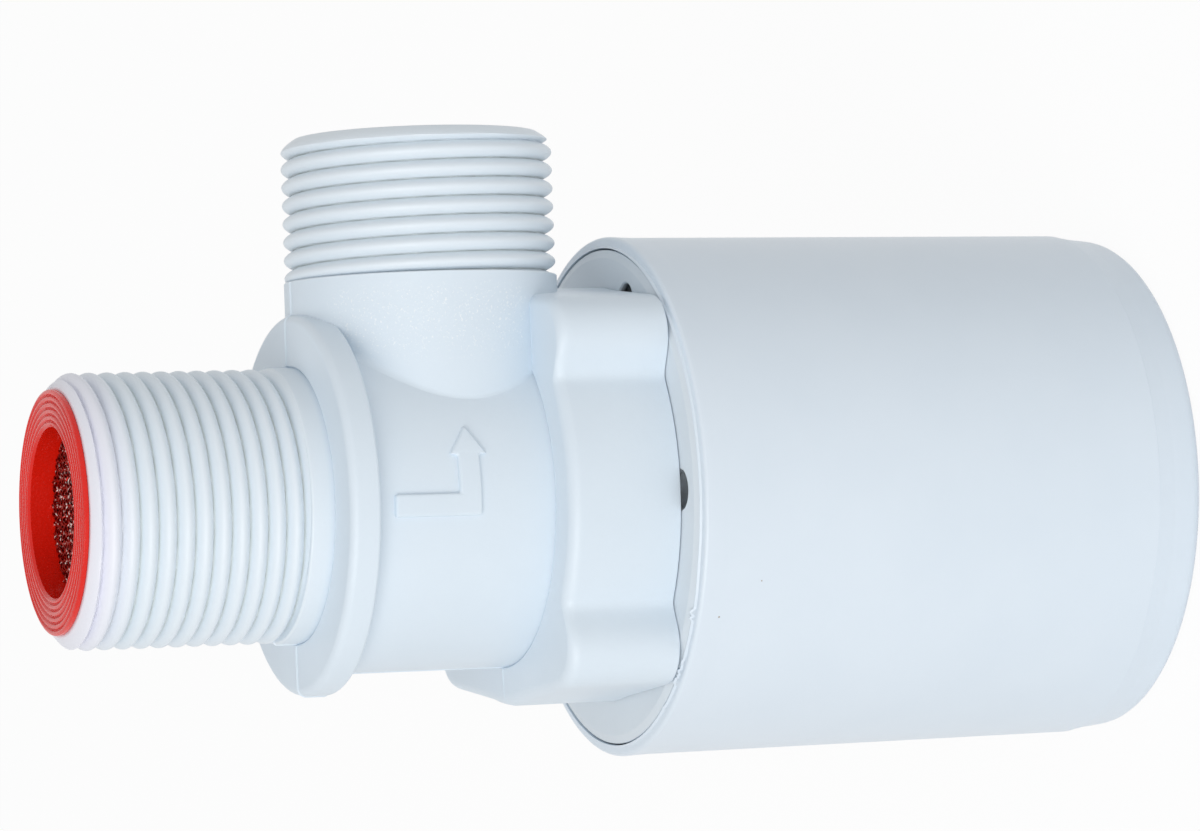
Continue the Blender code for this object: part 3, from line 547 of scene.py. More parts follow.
def ring_maker():
    """Tree that sets copies of a shape in a ring about the axis, each turned outwards."""
    tree, given = new_tree("ring_of_copies", {
        "Shape": "Object", "Count": "Int", "Circle": "Float", "Start": "Float", "Finish": "Material"})
    number = add(tree, "GeometryNodeInputIndex")
    share = add(tree, MATH, {0: number, 1: given["Count"]}, operation="DIVIDE")
    turn = add(tree, MATH, {0: share, 1: math.tau, 2: given["Start"]}, operation="MULTIPLY_ADD")
    across = add(tree, MATH, {0: turn}, operation="COSINE")
    along = add(tree, MATH, {0: turn}, operation="SINE")
    out = add(tree, COMBINE_XYZ, {"X": across, "Y": along})
    spot = add(tree, VECTOR_MATH, {0: out, "Scale": given["Circle"]}, operation="SCALE")
    spots = add(tree, "GeometryNodePoints", {"Count": given["Count"], "Position": spot})
    facing = add(tree, COMBINE_XYZ, {"Z": turn})
    shape = add(tree, "GeometryNodeObjectInfo", {"Object": given["Shape"]})
    copies = add(tree, "GeometryNodeInstanceOnPoints", {
        "Points": spots, "Instance": shape.outputs["Geometry"], "Rotation": facing})
    return end_tree(tree, copies, given["Finish"])


ring_tree = ring_maker()


def ring_of(name, shape, count, circle, start, finish):
    """Copies of a shape in a ring, radius in millimetres and start in degrees. The shape is used up."""
    ring = made_by(name, ring_tree, shape=shape, count=count, circle=circle * MM,
                   start=math.radians(start), finish=finish)
    bpy.data.objects.remove(shape)
    return ring


print("ring tree has", len(ring_tree.nodes), "nodes")

# %% [markdown]
# ## Threads
#
# Inlet and outlet carry the same pipe thread: about fourteen turns to the inch with flanks at 55 degrees,
# which a moulding shows as fat round crests with narrow dark grooves. A thread can be swept along a
# helix, but a cylinder whose points move in and out by a rule is closed from the start and needs no
# repair. The rule: going once round moves the crest by one pitch, and a root of a cosine gives the fat
# round crest and the tight groove. At the tip a bowed chamfer thins the end. A small thread also runs
# out: its grooves get shallower until they end, while the pipe threads keep theirs to the neck.

# %% Thread tree


def thread_maker():
    """Tree that presses a thread into a rod whose tip is up."""
    tree, given = new_tree("pipe_thread", {
        "Length": "Float", "Radius": "Float", "Depth": "Float", "Pitch": "Float", "First Crest": "Float",
        "Chamfer": "Float", "Bow": "Float", "Fatness": "Float", "Softness": "Float", "Full To": "Float",
        "Ends At": "Float", "Sides": "Int", "Rows": "Int", "Finish": "Material"})
    rod = add(tree, "GeometryNodeMeshCylinder", {
        "Vertices": given["Sides"], "Side Segments": given["Rows"], "Radius": given["Radius"],
        "Depth": given["Length"]}, fill_type="NGON")
    place = add(tree, "GeometryNodeInputPosition")
    axes = add(tree, SEPARATE_XYZ, {0: place}).outputs
    half = add(tree, MATH, {0: given["Length"], 1: 0.5}, operation="MULTIPLY")
    below = add(tree, MATH, {0: half, 1: axes["Z"]}, operation="SUBTRACT")
    past = add(tree, MATH, {0: below, 1: given["First Crest"]}, operation="SUBTRACT")
    rows = add(tree, MATH, {0: past, 1: given["Pitch"]}, operation="DIVIDE")
    angle = add(tree, MATH, {0: axes["Y"], 1: axes["X"]}, operation="ARCTAN2")
    turn = add(tree, MATH, {0: angle, 1: math.tau}, operation="DIVIDE")
    phase = add(tree, MATH, {0: rows, 1: turn}, operation="ADD")
    swing = add(tree, MATH, {0: phase, 1: math.pi}, operation="MULTIPLY")
    wave = add(tree, MATH, {0: swing}, operation="COSINE")
    square = add(tree, MATH, {0: wave, 1: wave}, operation="MULTIPLY")
    softness = given["Softness"]
    soft = add(tree, MATH, {0: softness, 1: softness, 2: square}, operation="MULTIPLY_ADD")
    root = add(tree, MATH, {0: given["Fatness"], 1: 0.5}, operation="MULTIPLY")
    crest = add(tree, MATH, {0: soft, 1: root}, operation="POWER")
    drop = add(tree, MATH, {0: 1.0, 1: crest}, operation="SUBTRACT")
    fade = add(tree, MAP_RANGE, {
        "Value": below, "From Min": given["Full To"], "From Max": given["Ends At"],
        "To Min": 1.0, "To Max": 0.0})
    depth = add(tree, MATH, {0: fade, 1: given["Depth"]}, operation="MULTIPLY")
    groove = add(tree, MATH, {0: drop, 1: depth}, operation="MULTIPLY")
    threaded = add(tree, MATH, {0: given["Radius"], 1: groove}, operation="SUBTRACT")
    near_tip = add(tree, MAP_RANGE, {
        "Value": below, "From Min": 0.0, "From Max": given["Chamfer"], "To Min": 1.0, "To Max": 0.0})
    bowed = add(tree, MATH, {0: near_tip, 1: given["Bow"]}, operation="POWER")
    lost = add(tree, MATH, {0: bowed, 1: given["Chamfer"]}, operation="MULTIPLY")
    tip = add(tree, MATH, {0: given["Radius"], 1: lost}, operation="SUBTRACT")
    radius = add(tree, MATH, {0: threaded, 1: tip}, operation="MINIMUM")
    share = add(tree, MATH, {0: radius, 1: given["Radius"]}, operation="DIVIDE")
    scale = add(tree, COMBINE_XYZ, {"X": share, "Y": share, "Z": 1.0})
    moved = add(tree, VECTOR_MATH, {0: place, 1: scale}, operation="MULTIPLY")
    shaped = add(tree, "GeometryNodeSetPosition", {"Geometry": rod, "Position": moved})
    return end_tree(tree, shaped, given["Finish"])


thread_tree = thread_maker()
print("thread tree has", len(thread_tree.nodes), "nodes")

# %% Threaded rods and the pipe thread
CHAMFER_BOW = 1.7
THREAD_FATNESS = 0.62
GROOVE_SOFTNESS = 0.06
ROWS_PER_PITCH = 20
THREAD_RADIUS = 13.22
THREAD_DEPTH = 1.24
THREAD_PITCH = 1.78
THREAD_CHAMFER = 1.4
THREAD_SIDES = 144


def threaded_rod(name, length, radius, depth, pitch, first_crest, chamfer, full_to, sides, finish):
    """A threaded rod whose chamfered tip is at height zero, with full grooves down to a depth."""
    rod = made_by(
        name, thread_tree, length=length * MM, radius=radius * MM, depth=depth * MM, pitch=pitch * MM,
        first_crest=first_crest * MM, chamfer=chamfer * MM, bow=CHAMFER_BOW, fatness=THREAD_FATNESS,
        softness=GROOVE_SOFTNESS, full_to=full_to * MM, ends_at=(full_to + pitch) * MM, sides=sides,
        rows=round(length / pitch * ROWS_PER_PITCH), finish=finish)
    return shifted(rod, z=-length / 2)


def pipe_thread(name, length, first_crest):
    """The pipe thread of the inlet and the outlet, with full grooves along its whole length."""
    return threaded_rod(name, length, THREAD_RADIUS, THREAD_DEPTH, THREAD_PITCH, first_crest, THREAD_CHAMFER,
                        length, THREAD_SIDES, body_plastic)


print("pipe thread of", 2 * THREAD_RADIUS, "mm with a pitch of", THREAD_PITCH, "mm")

# %% [markdown]
# ## The lobed flange
#
# The foot of the body is a flange with a screw lobe at each corner. Seen from above it is round to the
# front and the back, with straight sides towards the outlet and away from it. Its radius at an angle is
# the largest of the circle, the lobe and the straight side, and a moving average along the rim softens
# the valleys, as the fillets of a mould do. A bevel could do that too, but it works on the edges of a
# mesh, and here the rim is still only a rule.

# %% Flange outline
LOBE_CIRCLE = 21.1
LOBE_RADIUS = 4.05
VALLEY_SOFTNESS = math.radians(2.2)
AVERAGE_REACH = 2
AVERAGE_POINTS = 21
FLANGE_POINTS = 480
FINE_POINTS = 7200

flange_radius = -body_low[0]


def flange_reach(angle):
    """Radius of the flange at an angle, before its valleys are softened."""
    fold = np.arctan2(np.abs(np.sin(angle)), np.abs(np.cos(angle)))
    middle = LOBE_CIRCLE * math.cos(math.pi / 4)
    away = fold - math.pi / 4
    bulge = np.maximum(LOBE_RADIUS ** 2 - (LOBE_CIRCLE * np.sin(away)) ** 2, 0)
    lobe = LOBE_CIRCLE * np.cos(away) + np.sqrt(bulge)
    side = complex(flange_radius - middle, -middle)
    lean = cmath.phase(side) + math.acos(LOBE_RADIUS / abs(side))
    touch = cmath.phase(complex(middle, middle) + cmath.rect(LOBE_RADIUS, lean))
    straight = (middle * (math.cos(lean) + math.sin(lean)) + LOBE_RADIUS) / np.cos(fold - lean)
    return np.maximum(np.maximum(flange_radius, lobe), np.where(fold < touch, straight, 0))


fine = np.arange(FINE_POINTS) * math.tau / FINE_POINTS
shifts = np.linspace(-AVERAGE_REACH, AVERAGE_REACH, AVERAGE_POINTS) * VALLEY_SOFTNESS
weights = np.exp(-(shifts / VALLEY_SOFTNESS) ** 2)
weighed = [weight * flange_reach(fine + shift) for shift, weight in zip(shifts, weights)]
fine_reach = sum(weighed) / weights.sum()
fine_steps = np.hypot(np.gradient(fine_reach), fine_reach * fine[1])
travel = np.concatenate(([0], np.cumsum(fine_steps)))
even = np.interp(np.arange(FLANGE_POINTS) * travel[-1] / FLANGE_POINTS, travel, np.append(fine, math.tau))
print("flange rim is", round(travel[-1], 1), "mm round, widest", round(fine_reach.max(), 2), "mm")

# %% [markdown]
# ## The body's main form
#
# Flange, barrel, collar and neck are one stack of rings about the axis, and a fine crease marks where
# barrel and neck meet the wider forms. The mould opens along a plane through the axis, so a thin raised
# line runs down both sides: each ring is lifted a tenth of a millimetre over a narrow angle there, and
# less on the flange. On the side away from the outlet the flange is a little shorter.

# %% Heights and angles of the body
FLANGE_HEIGHT = 10.98
COLLAR_THICKNESS = 3.0
NECK_LENGTH = 2.22
INLET_THREAD = 20.78
SEAM_HALF = math.radians(0.55)
SEAM_CLEARANCE = math.radians(0.2)
SEAM_ANGLES = np.linspace(-1, 1, 7) * SEAM_HALF

flange_z = body_low[2]
flange_top = flange_z + FLANGE_HEIGHT
inlet_z = body_high[2]
neck_top = inlet_z - INLET_THREAD
collar_top = neck_top - NECK_LENGTH
collar_z = collar_top - COLLAR_THICKNESS

seams = np.concatenate([centre + SEAM_ANGLES for centre in (0, np.pi)]) % math.tau
from_seams = np.abs((even[:, None] - seams[None, :] + np.pi) % math.tau - np.pi).min(axis=1)
around = np.sort(np.concatenate((even[from_seams > SEAM_CLEARANCE], seams)))
lobes = np.interp(around, np.append(fine, math.tau), np.append(fine_reach, fine_reach[0])) - flange_radius
print("flange top at", round(flange_top, 2), "mm, collar top at", round(collar_top, 2), "mm")

# %% Flange, barrel, collar and neck
FLANGE_DROP = 0.22
FLANGE_ROUND = 1.2
FOOT_ROUND = 0.12
FLANGE_TRIM = 0.977
FLANGE_BAND = 2.0
COLLAR_RADIUS = 18.4
COLLAR_ROUND = 0.85
BARREL_RADIUS = 16.3
NECK_RADIUS = 13.3
NECK_ROUND = 0.25
CREASE = 0.2
END_INSET = 1.5
SEAM_HEIGHT = 0.13
LOW_SEAM = 0.4
SEAM_START = 0.5
BODY_STEPS = 7
TOLERANCE = 0.01

flange_foot = flange_z - FLANGE_DROP
profile = rounded([
    (flange_radius - END_INSET, flange_foot), (flange_radius, flange_foot, FOOT_ROUND),
    (flange_radius, flange_top, FLANGE_ROUND), (BARREL_RADIUS + CREASE, flange_top),
    (BARREL_RADIUS, flange_top - CREASE), (BARREL_RADIUS, collar_z), (COLLAR_RADIUS, collar_z, SOFT),
    (COLLAR_RADIUS, collar_top, COLLAR_ROUND), (NECK_RADIUS + CREASE, collar_top),
    (NECK_RADIUS, collar_top - CREASE), (NECK_RADIUS, neck_top, NECK_ROUND),
    (NECK_RADIUS - END_INSET, neck_top)], steps=BODY_STEPS)
tangent = np.gradient(profile, axis=0)
outward = np.column_stack((tangent[:, 1], -tangent[:, 0])) / np.hypot(tangent[:, 0], tangent[:, 1])[:, None]
to_seam = np.abs((around + np.pi / 2) % np.pi - np.pi / 2)
ridge = SEAM_HEIGHT * np.clip(1 - to_seam / SEAM_HALF, 0, 1)
body_rings = []
for (reach, height), (out, up) in zip(profile, outward):
    lobed = reach > flange_radius - FLANGE_BAND and height < flange_top + TOLERANCE
    lift = ridge * (height > flange_foot + SEAM_START) * (LOW_SEAM if lobed else 1)
    reaches = reach + lift * out + (lobes if lobed else 0)
    wide = reaches * np.cos(around)
    if lobed:
        wide = np.where(wide < 0, wide * FLANGE_TRIM, wide)
    body_rings.append(np.column_stack((wide, reaches * np.sin(around), height + lift * up)))
valve_body = surface("valve_body", body_rings, closed=False)
print("main form:", len(body_rings), "rings of", len(around), "points")

# %% [markdown]
# ## The side outlet
#
# The outlet stub leaves the barrel at a right angle, and a soft fillet runs round the saddle. A bevel on
# the crossing edge is fragile, so the fillet is worked out: a ball that rolls along the saddle touches the
# stub on one side and the barrel on the other, and the fillet is the arc between both contacts. Where the
# flange or the collar leaves little room, the ball shrinks.

# %% Ball along the saddle
OUTLET_RISE = 7.08
OUTLET_THREAD = 14.0
SADDLE_FILLET = 1.3
SADDLE_LEAST = 0.08
SADDLE_SINK = 0.04
STUB_POINTS = 240

outlet_x = body_high[0]
outlet_z = flange_top + OUTLET_RISE
stub_end = outlet_x - OUTLET_THREAD

spread = np.arange(STUB_POINTS) * math.tau / STUB_POINTS
spread = np.unique(np.concatenate((spread, (SEAM_ANGLES + math.tau) % math.tau)))
seam_lift = SEAM_HEIGHT * np.clip(1 - np.abs((spread + np.pi) % math.tau - np.pi) / SEAM_HALF, 0, 1)
edge = outlet_z + NECK_RADIUS * np.cos(spread)
room = np.clip(np.minimum(edge - flange_top, collar_z - edge) / SADDLE_FILLET, 0, 1)
ball = SADDLE_LEAST + (SADDLE_FILLET - SADDLE_LEAST) * room
ball_y = (NECK_RADIUS + ball) * np.sin(spread)
ball_z = outlet_z + (NECK_RADIUS + ball) * np.cos(spread)
ball_x = np.sqrt((BARREL_RADIUS - SADDLE_SINK + ball) ** 2 - ball_y ** 2)
hub = np.column_stack((ball_x, ball_y, ball_z))
print("saddle fillet from", round(ball.min(), 2), "to", round(ball.max(), 2), "mm")

# %% Outlet stub with its fillet
ARC_STEPS = 8
STUB_EDGE = 0.08
ROOT_X = 6.0
ROOT_RADIUS = 8.0


def stub_ring(x, radius):
    """Points round the outlet's axis at a reach and a radius."""
    out = np.full(len(spread), x)
    return np.column_stack((out, radius * np.sin(spread), outlet_z + radius * np.cos(spread)))


to_stub = np.column_stack((0 * spread, -np.sin(spread), -np.cos(spread)))
to_barrel = -np.column_stack((ball_x, ball_y, 0 * spread)) / np.hypot(ball_x, ball_y)[:, None]
opening = np.arccos((to_stub * to_barrel).sum(axis=1))[:, None]
fillet_rings = []
for step in range(ARC_STEPS + 1):
    part = step / ARC_STEPS
    toward = (np.sin((1 - part) * opening) * to_stub + np.sin(part * opening) * to_barrel) / np.sin(opening)
    fillet_rings.append(hub + ball[:, None] * toward)
fillet_rings[0][:, 1:] += seam_lift[:, None] * -to_stub[:, 1:]
stub = surface("outlet_stub", [
    stub_ring(stub_end, NECK_RADIUS - END_INSET), stub_ring(stub_end, NECK_RADIUS - STUB_EDGE),
    stub_ring(stub_end - STUB_EDGE, NECK_RADIUS + seam_lift), *fillet_rings,
    stub_ring(ROOT_X, ROOT_RADIUS)], closed=False)
print("outlet stub has", len(stub.data.polygons), "faces")

# %% [markdown]
# ## The flow arrow
#
# A raised arrow on the barrel shows which way the water goes: along the body, then out to the side. A
# Shrinkwrap modifier could lay it on the barrel, but a rule keeps its height exact: it is drawn flat,
# bevelled, cut into narrow strips and bent round the barrel, so that its face stays parallel to it.

# %% Raised arrow
ARROW_RISE = 0.45
ARROW_SINK = 0.5
ARROW_BEVEL = 0.28
ARROW_WIDTH = 2.2
ARROW_BAR = 8.7
ARROW_STEM = 5.8
ARROW_HEAD_WIDTH = 3.8
ARROW_HEAD_LENGTH = 2.8
ARROW_FOOT = 1.8
ARROW_ABOVE_FLANGE = 7.4
BEVEL_STEPS = 3
STRIP = 0.35

arrow_low = flange_top + ARROW_ABOVE_FLANGE
arrow_high = arrow_low + ARROW_WIDTH
arrow_middle = (arrow_low + arrow_high) / 2
arrow_tip = ARROW_STEM + ARROW_HEAD_LENGTH
arrow_outline = [
    (0, arrow_low), (ARROW_STEM, arrow_low), (ARROW_STEM, arrow_middle - ARROW_HEAD_WIDTH / 2),
    (arrow_tip, arrow_middle), (ARROW_STEM, arrow_middle + ARROW_HEAD_WIDTH / 2), (ARROW_STEM, arrow_high),
    (ARROW_WIDTH, arrow_high), (ARROW_WIDTH, arrow_low + ARROW_BAR), (0, arrow_low + ARROW_BAR)]
bm = bmesh.new()
base = bm.faces.new([bm.verts.new((x - ARROW_FOOT, -ARROW_SINK, height)) for x, height in arrow_outline])
lifted = bmesh.ops.extrude_face_region(bm, geom=[base])["geom"]
top = [item for item in lifted if isinstance(item, bmesh.types.BMVert)]
bmesh.ops.translate(bm, verts=top, vec=(0, ARROW_SINK + ARROW_RISE, 0))
top_edges = [item for item in bm.edges if all(vert in top for vert in item.verts)]
uprights = [item for item in bm.edges if sum(vert in top for vert in item.verts) == 1]
bmesh.ops.bevel(
    bm, geom=top_edges + uprights, offset=ARROW_BEVEL, segments=BEVEL_STEPS, profile=0.5, affect="EDGES")
for cut in np.arange(STRIP - ARROW_FOOT, arrow_tip - ARROW_FOOT, STRIP):
    everything = bm.verts[:] + bm.edges[:] + bm.faces[:]
    bmesh.ops.bisect_plane(bm, geom=everything, plane_co=(cut, 0, 0), plane_no=(1, 0, 0))
for vert in bm.verts:
    x, rise, height = vert.co
    vert.co = Vector((x, -math.sqrt((BARREL_RADIUS + rise) ** 2 - x ** 2), height)) * MM
bmesh.ops.recalc_face_normals(bm, faces=bm.faces)
arrow = put("flow_arrow", bpy.data.meshes.new("flow_arrow"))
bm.to_mesh(arrow.data)
bm.free()
print("arrow has", len(arrow.data.polygons), "faces")

# %% [markdown]
# ## The body as one moulding
#
# The forms are united, then the water ways are cut: down the inlet through a funnel to the seat, round
# the seat's tube in a ring chamber, and out at the side. The screw holes come up into the lobes. Each way
# is a turned solid that reaches a little past the faces it opens, because a Boolean is unsure about faces
# that coincide. The arrow is united first, because after the threads the exact Boolean leaves gaps
# round it.

# %% Unite the forms
INLET_LIFT = 0.4
INLET_CREST = 1.2
OUTLET_CREST = 1.9
OVERLAP = 0.6


def to_outlet(piece, x=0):
    """Lay an upright piece along the outlet's axis, at a distance in millimetres."""
    sideways = Matrix.Rotation(math.pi / 2, 4, "Y")
    piece.data.transform(Matrix.Translation((x * MM, 0, outlet_z * MM)) @ sideways)
    return piece


inlet_end = inlet_z + INLET_LIFT
inlet_length = INLET_THREAD + INLET_LIFT + OVERLAP
inlet_thread = shifted(pipe_thread("inlet_thread", inlet_length, INLET_CREST + INLET_LIFT), z=inlet_end)
outlet_thread = to_outlet(pipe_thread("outlet_thread", OUTLET_THREAD + OVERLAP, OUTLET_CREST), outlet_x)
combine(valve_body, "UNION", arrow, stub, inlet_thread, outlet_thread)
print("body united,", len(valve_body.data.polygons), "faces")

# %% Cut the water ways
PAST = 1.0
INLET_BORE = 10.9
INLET_BORE_DEPTH = 9.7
INLET_FLARE = 1.3
INLET_MOUTH = 0.3
FUNNEL_LENGTH = 5.0
TUBE_BORE = 7.0
TUBE_RADIUS = 9.2
TUBE_THIN = 1.1
TUBE_TAPER = 1.2
CHAMBER_RADIUS = 14.0
CHAMBER_ROOF = 0.7
SEAT_RISE = 1.9
SEAT_CUT = 0.5
RIM_SEAT_RADIUS = 16.9
RIM_SEAT_HEIGHT = 1.8
OUTLET_BORE = 10.0
OUTLET_FLARE = 1.5
OUTLET_MOUTH = 0.5

seat_z = flange_z + SEAT_RISE
rim_seat_z = flange_z + RIM_SEAT_HEIGHT
funnel_z = inlet_z - INLET_BORE_DEPTH
roof_z = collar_z - CHAMBER_ROOF
outlet_start = (TUBE_RADIUS + CHAMBER_RADIUS) / 2
water_way = turned("water_way", [
    (0, inlet_end + PAST), (INLET_BORE + INLET_FLARE, inlet_end + PAST),
    (INLET_BORE, inlet_end - INLET_MOUTH, NEAT), (INLET_BORE, funnel_z, FULL),
    (TUBE_BORE, funnel_z - FUNNEL_LENGTH, WIDE), (TUBE_BORE, seat_z - SEAT_CUT), (0, seat_z - SEAT_CUT)],
    steps=96)
chamber = turned("chamber", [
    (TUBE_RADIUS, roof_z, FULL), (CHAMBER_RADIUS, roof_z, FULL), (CHAMBER_RADIUS, rim_seat_z, FINE),
    (RIM_SEAT_RADIUS, rim_seat_z, KEEN), (RIM_SEAT_RADIUS, flange_z - PAST), (0, flange_z - PAST),
    (0, seat_z), (TUBE_RADIUS - TUBE_THIN, seat_z, SOFT), (TUBE_RADIUS, seat_z + TUBE_TAPER, NEAT)],
    steps=128)
outlet_way = to_outlet(turned("outlet_way", [
    (0, outlet_start), (OUTLET_BORE, outlet_start), (OUTLET_BORE, outlet_x - OUTLET_MOUTH, NEAT),
    (OUTLET_BORE + OUTLET_FLARE, outlet_x + PAST), (0, outlet_x + PAST)], steps=96))
print("water runs from", round(inlet_end, 1), "mm down to the seat at", round(seat_z, 2), "mm")

# %% Cut the screw holes and dress the body
SCREW_COUNT = 4
SCREW_START = 45
SCREW_CIRCLE = 19.2
SCREW_HOLE = 1.6
SCREW_DEPTH = 10.2

screw_hole = turned("screw_hole", [
    (0, flange_z - PAST), (SCREW_HOLE, flange_z - PAST), (SCREW_HOLE, flange_z + SCREW_DEPTH),
    (0, flange_z + SCREW_DEPTH)], steps=32)
screw_holes = ring_of("screw_holes", screw_hole, SCREW_COUNT, SCREW_CIRCLE, SCREW_START, body_plastic)
combine(valve_body, "DIFFERENCE", water_way, chamber, outlet_way, screw_holes)
dress(valve_body, body_plastic, "housing", "moulded_white", "valve_body")

# %% [markdown]
# ## Casing
#
# The casing is a tapered tube that flares at its rim and ends there in a thin lip. It was parted off from
# its mould sprue by hand, so the lip carries a ragged burr on one side. A sculpted burr would have to be
# stored, so the points of the lip are lifted and pushed inwards by a seeded random draw instead.

# %% Casing
CASING_WALL = 1.1
CASING_TAPER = 0.4
CASING_STEPS = 720
SNAP_DEPTH = 4.5
SNAP_HALF = 0.6
SNAP_RISE = 0.4
SPIGOT_HEIGHT = 2.0
JOINT_LINE = 0.01
LIP_RISE = 0.22
LIP_TOP = 0.08
LIP_FOOT = 0.20
LIP_ROUND = 0.05
FLARE = 0.12
FLARE_LENGTH = 2.5
FLARE_ROUND = 3.0

rim_radius = casing_high[0]
foot_radius = rim_radius - CASING_TAPER
rim_z = casing_high[2]
lip_z = rim_z + LIP_RISE
joint_z = cap_high[2] - SPIGOT_HEIGHT + JOINT_LINE
slope = CASING_TAPER / (rim_z - joint_z)
bead_z = rim_z - SNAP_DEPTH
bore = rim_radius - CASING_WALL
casing = turned("casing", [
    (bore, lip_z, HAIR), (bore + LIP_TOP, lip_z, HAIR), (bore + LIP_FOOT, rim_z, LIP_ROUND),
    (rim_radius, rim_z, SOFT), (rim_radius - FLARE, rim_z - FLARE_LENGTH, FLARE_ROUND),
    (foot_radius, joint_z, HAIR), (foot_radius - CASING_WALL, joint_z),
    (bore - slope * (SNAP_DEPTH + SNAP_HALF), bead_z - SNAP_HALF), (bore - SNAP_RISE, bead_z, NEAT),
    (bore - slope * (SNAP_DEPTH - SNAP_HALF), bead_z + SNAP_HALF)], steps=CASING_STEPS)
print("casing tapers by", round(math.degrees(math.atan(slope)), 2), "degrees")

# %% Burr on the casing's lip
BURR_FROM = math.radians(-150)
BURR_TO = math.radians(-108)
BURR_FADE = 0.1
BURR_RISE = 0.3
BURR_REACH = 0.13
BURR_LOWEST = -0.2
BURR_BAND = 0.45
BURR_HEIGHT = 0.1
BURR_BLUR = np.ones(4) / 2.5
BURR_SEED = 7

draw = np.random.default_rng(BURR_SEED)
lumps = np.convolve(draw.normal(size=CASING_STEPS), BURR_BLUR, mode="same")
for vert in casing.data.vertices:
    x, y, z = vert.co / MM
    bearing = math.atan2(y, x)
    on_lip = z > rim_z - BURR_HEIGHT and math.hypot(x, y) < bore + BURR_BAND
    if on_lip and BURR_FROM < bearing < BURR_TO:
        fade = min(bearing - BURR_FROM, BURR_TO - bearing, BURR_FADE) / BURR_FADE
        lump = max(lumps[round(bearing / math.tau * CASING_STEPS)], BURR_LOWEST) * fade
        vert.co.z += lump * BURR_RISE * MM
        vert.co.xy *= 1 - lump * BURR_REACH / bore
dress(casing, casing_plastic, "housing", "casing_white", "casing")

# %% [markdown]
# ## End cap
#
# The cap closes the casing's foot. A spigot fits inside the tube, and outside only a rounded band shows,
# set back by a hair so that the joint reads as a faint line. Four drains let water in and out. The cap is
# a turned form, and the ring tree sets the drills.

# %% End cap
CAP_HEIGHT = 5.0
CAP_TAPER = 0.7
CAP_FLOOR = 2.0
CAP_WAIST = 3.2
WAIST_ROUND = 1.2
CAP_ROUND = 1.3
JOINT_STEP = 0.04
SPIGOT_WALL = 1.5
FIT = 0.3
DRAIN_COUNT = 4
DRAIN_RADIUS = 2.0
DRAIN_FLARE = 1.4
DRAIN_MOUTH = 0.4
DRAIN_CIRCLE = 12.0

spigot = foot_radius - CASING_WALL - FIT
spigot_top = cap_high[2]
end_cap = turned("end_cap", [
    (0, CAP_FLOOR), (spigot - SPIGOT_WALL, CAP_FLOOR, FULL), (spigot - SPIGOT_WALL, spigot_top, NEAT),
    (spigot, spigot_top, SOFT), (spigot, CAP_HEIGHT), (foot_radius - JOINT_STEP, CAP_HEIGHT, HAIR),
    (foot_radius - CAP_TAPER / 2, CAP_WAIST, WAIST_ROUND), (foot_radius - CAP_TAPER, 0, CAP_ROUND), (0, 0)],
    steps=256)
drain = turned("drain", [
    (0, -PAST), (DRAIN_RADIUS + DRAIN_FLARE, -PAST), (DRAIN_RADIUS, DRAIN_MOUTH, NEAT),
    (DRAIN_RADIUS, CAP_FLOOR + PAST), (0, CAP_FLOOR + PAST)], steps=48)
combine(end_cap, "DIFFERENCE", ring_of("drains", drain, DRAIN_COUNT, DRAIN_CIRCLE, 0, casing_plastic))
dress(end_cap, casing_plastic, "housing", "casing_white", "end_cap")

# %% [markdown]
# ## Pilot cover
#
# The round plate between body and casing carries the diaphragm's bowl and the pilot nozzle. From outside
# only its rim shows, a greyer white with a bevelled edge, and the vents that let water reach the float. It
# could be built from a disc and a bowl, but one turned outline has no seams to mend. The vents widen below
# a thin skin, so that they look dark.

# %% Pilot cover
COVER_PLATE = 2.4
COVER_BEVEL = 0.8
COVER_BEVEL_DROP = 0.3
COVER_SEAL = 0.13
SEAL_TOP = 0.6
SEAL_FOOT = 1.0
SKIRT_DEPTH = 7.5
SKIRT_WALL = 1.8
BOWL_RADIUS = 14.0
BOWL_WALL = 1.8
BOWL_DEPTH = 4.8
BOWL_FLOOR = 2.0
BOSS_RADIUS = 4.5
SHANK_BORE = 2.5
SHANK_DEPTH = 3.2
PILOT_PASSAGE = 1.2

cover_radius = cover_high[0]
cover_z = cover_high[2]
boss_z = cover_low[2]
seal = cover_radius + COVER_SEAL
skirt = cover_radius - SKIRT_WALL
skirt_z = cover_z - SKIRT_DEPTH
plate_z = cover_z - COVER_PLATE
bowl_z = cover_z - BOWL_DEPTH
groove_half = SNAP_HALF + FIT
pilot_cover = turned("pilot_cover", [
    (BOWL_RADIUS, cover_z, KEEN), (seal - COVER_BEVEL, cover_z, SOFT),
    (seal, cover_z - COVER_BEVEL_DROP, CRISP), (seal, rim_z - SEAL_TOP), (cover_radius, rim_z - SEAL_FOOT),
    (cover_radius, bead_z + groove_half), (cover_radius - SNAP_RISE, bead_z + groove_half),
    (cover_radius - SNAP_RISE, bead_z - groove_half), (cover_radius, bead_z - groove_half),
    (cover_radius, skirt_z, FULL), (skirt, skirt_z, FULL), (skirt, plate_z, BROAD),
    (BOWL_RADIUS + BOWL_WALL, plate_z, BROAD), (BOWL_RADIUS + BOWL_WALL, bowl_z - BOWL_FLOOR, WIDE),
    (BOSS_RADIUS, bowl_z - BOWL_FLOOR, BROAD), (BOSS_RADIUS, boss_z, SOFT), (SHANK_BORE, boss_z),
    (SHANK_BORE, boss_z + SHANK_DEPTH), (PILOT_PASSAGE, boss_z + SHANK_DEPTH), (PILOT_PASSAGE, bowl_z, FINE),
    (BOWL_RADIUS, bowl_z, WIDE)], steps=240)
print("cover plate at", round(cover_z, 2), "mm, bowl floor at", round(bowl_z, 2), "mm")

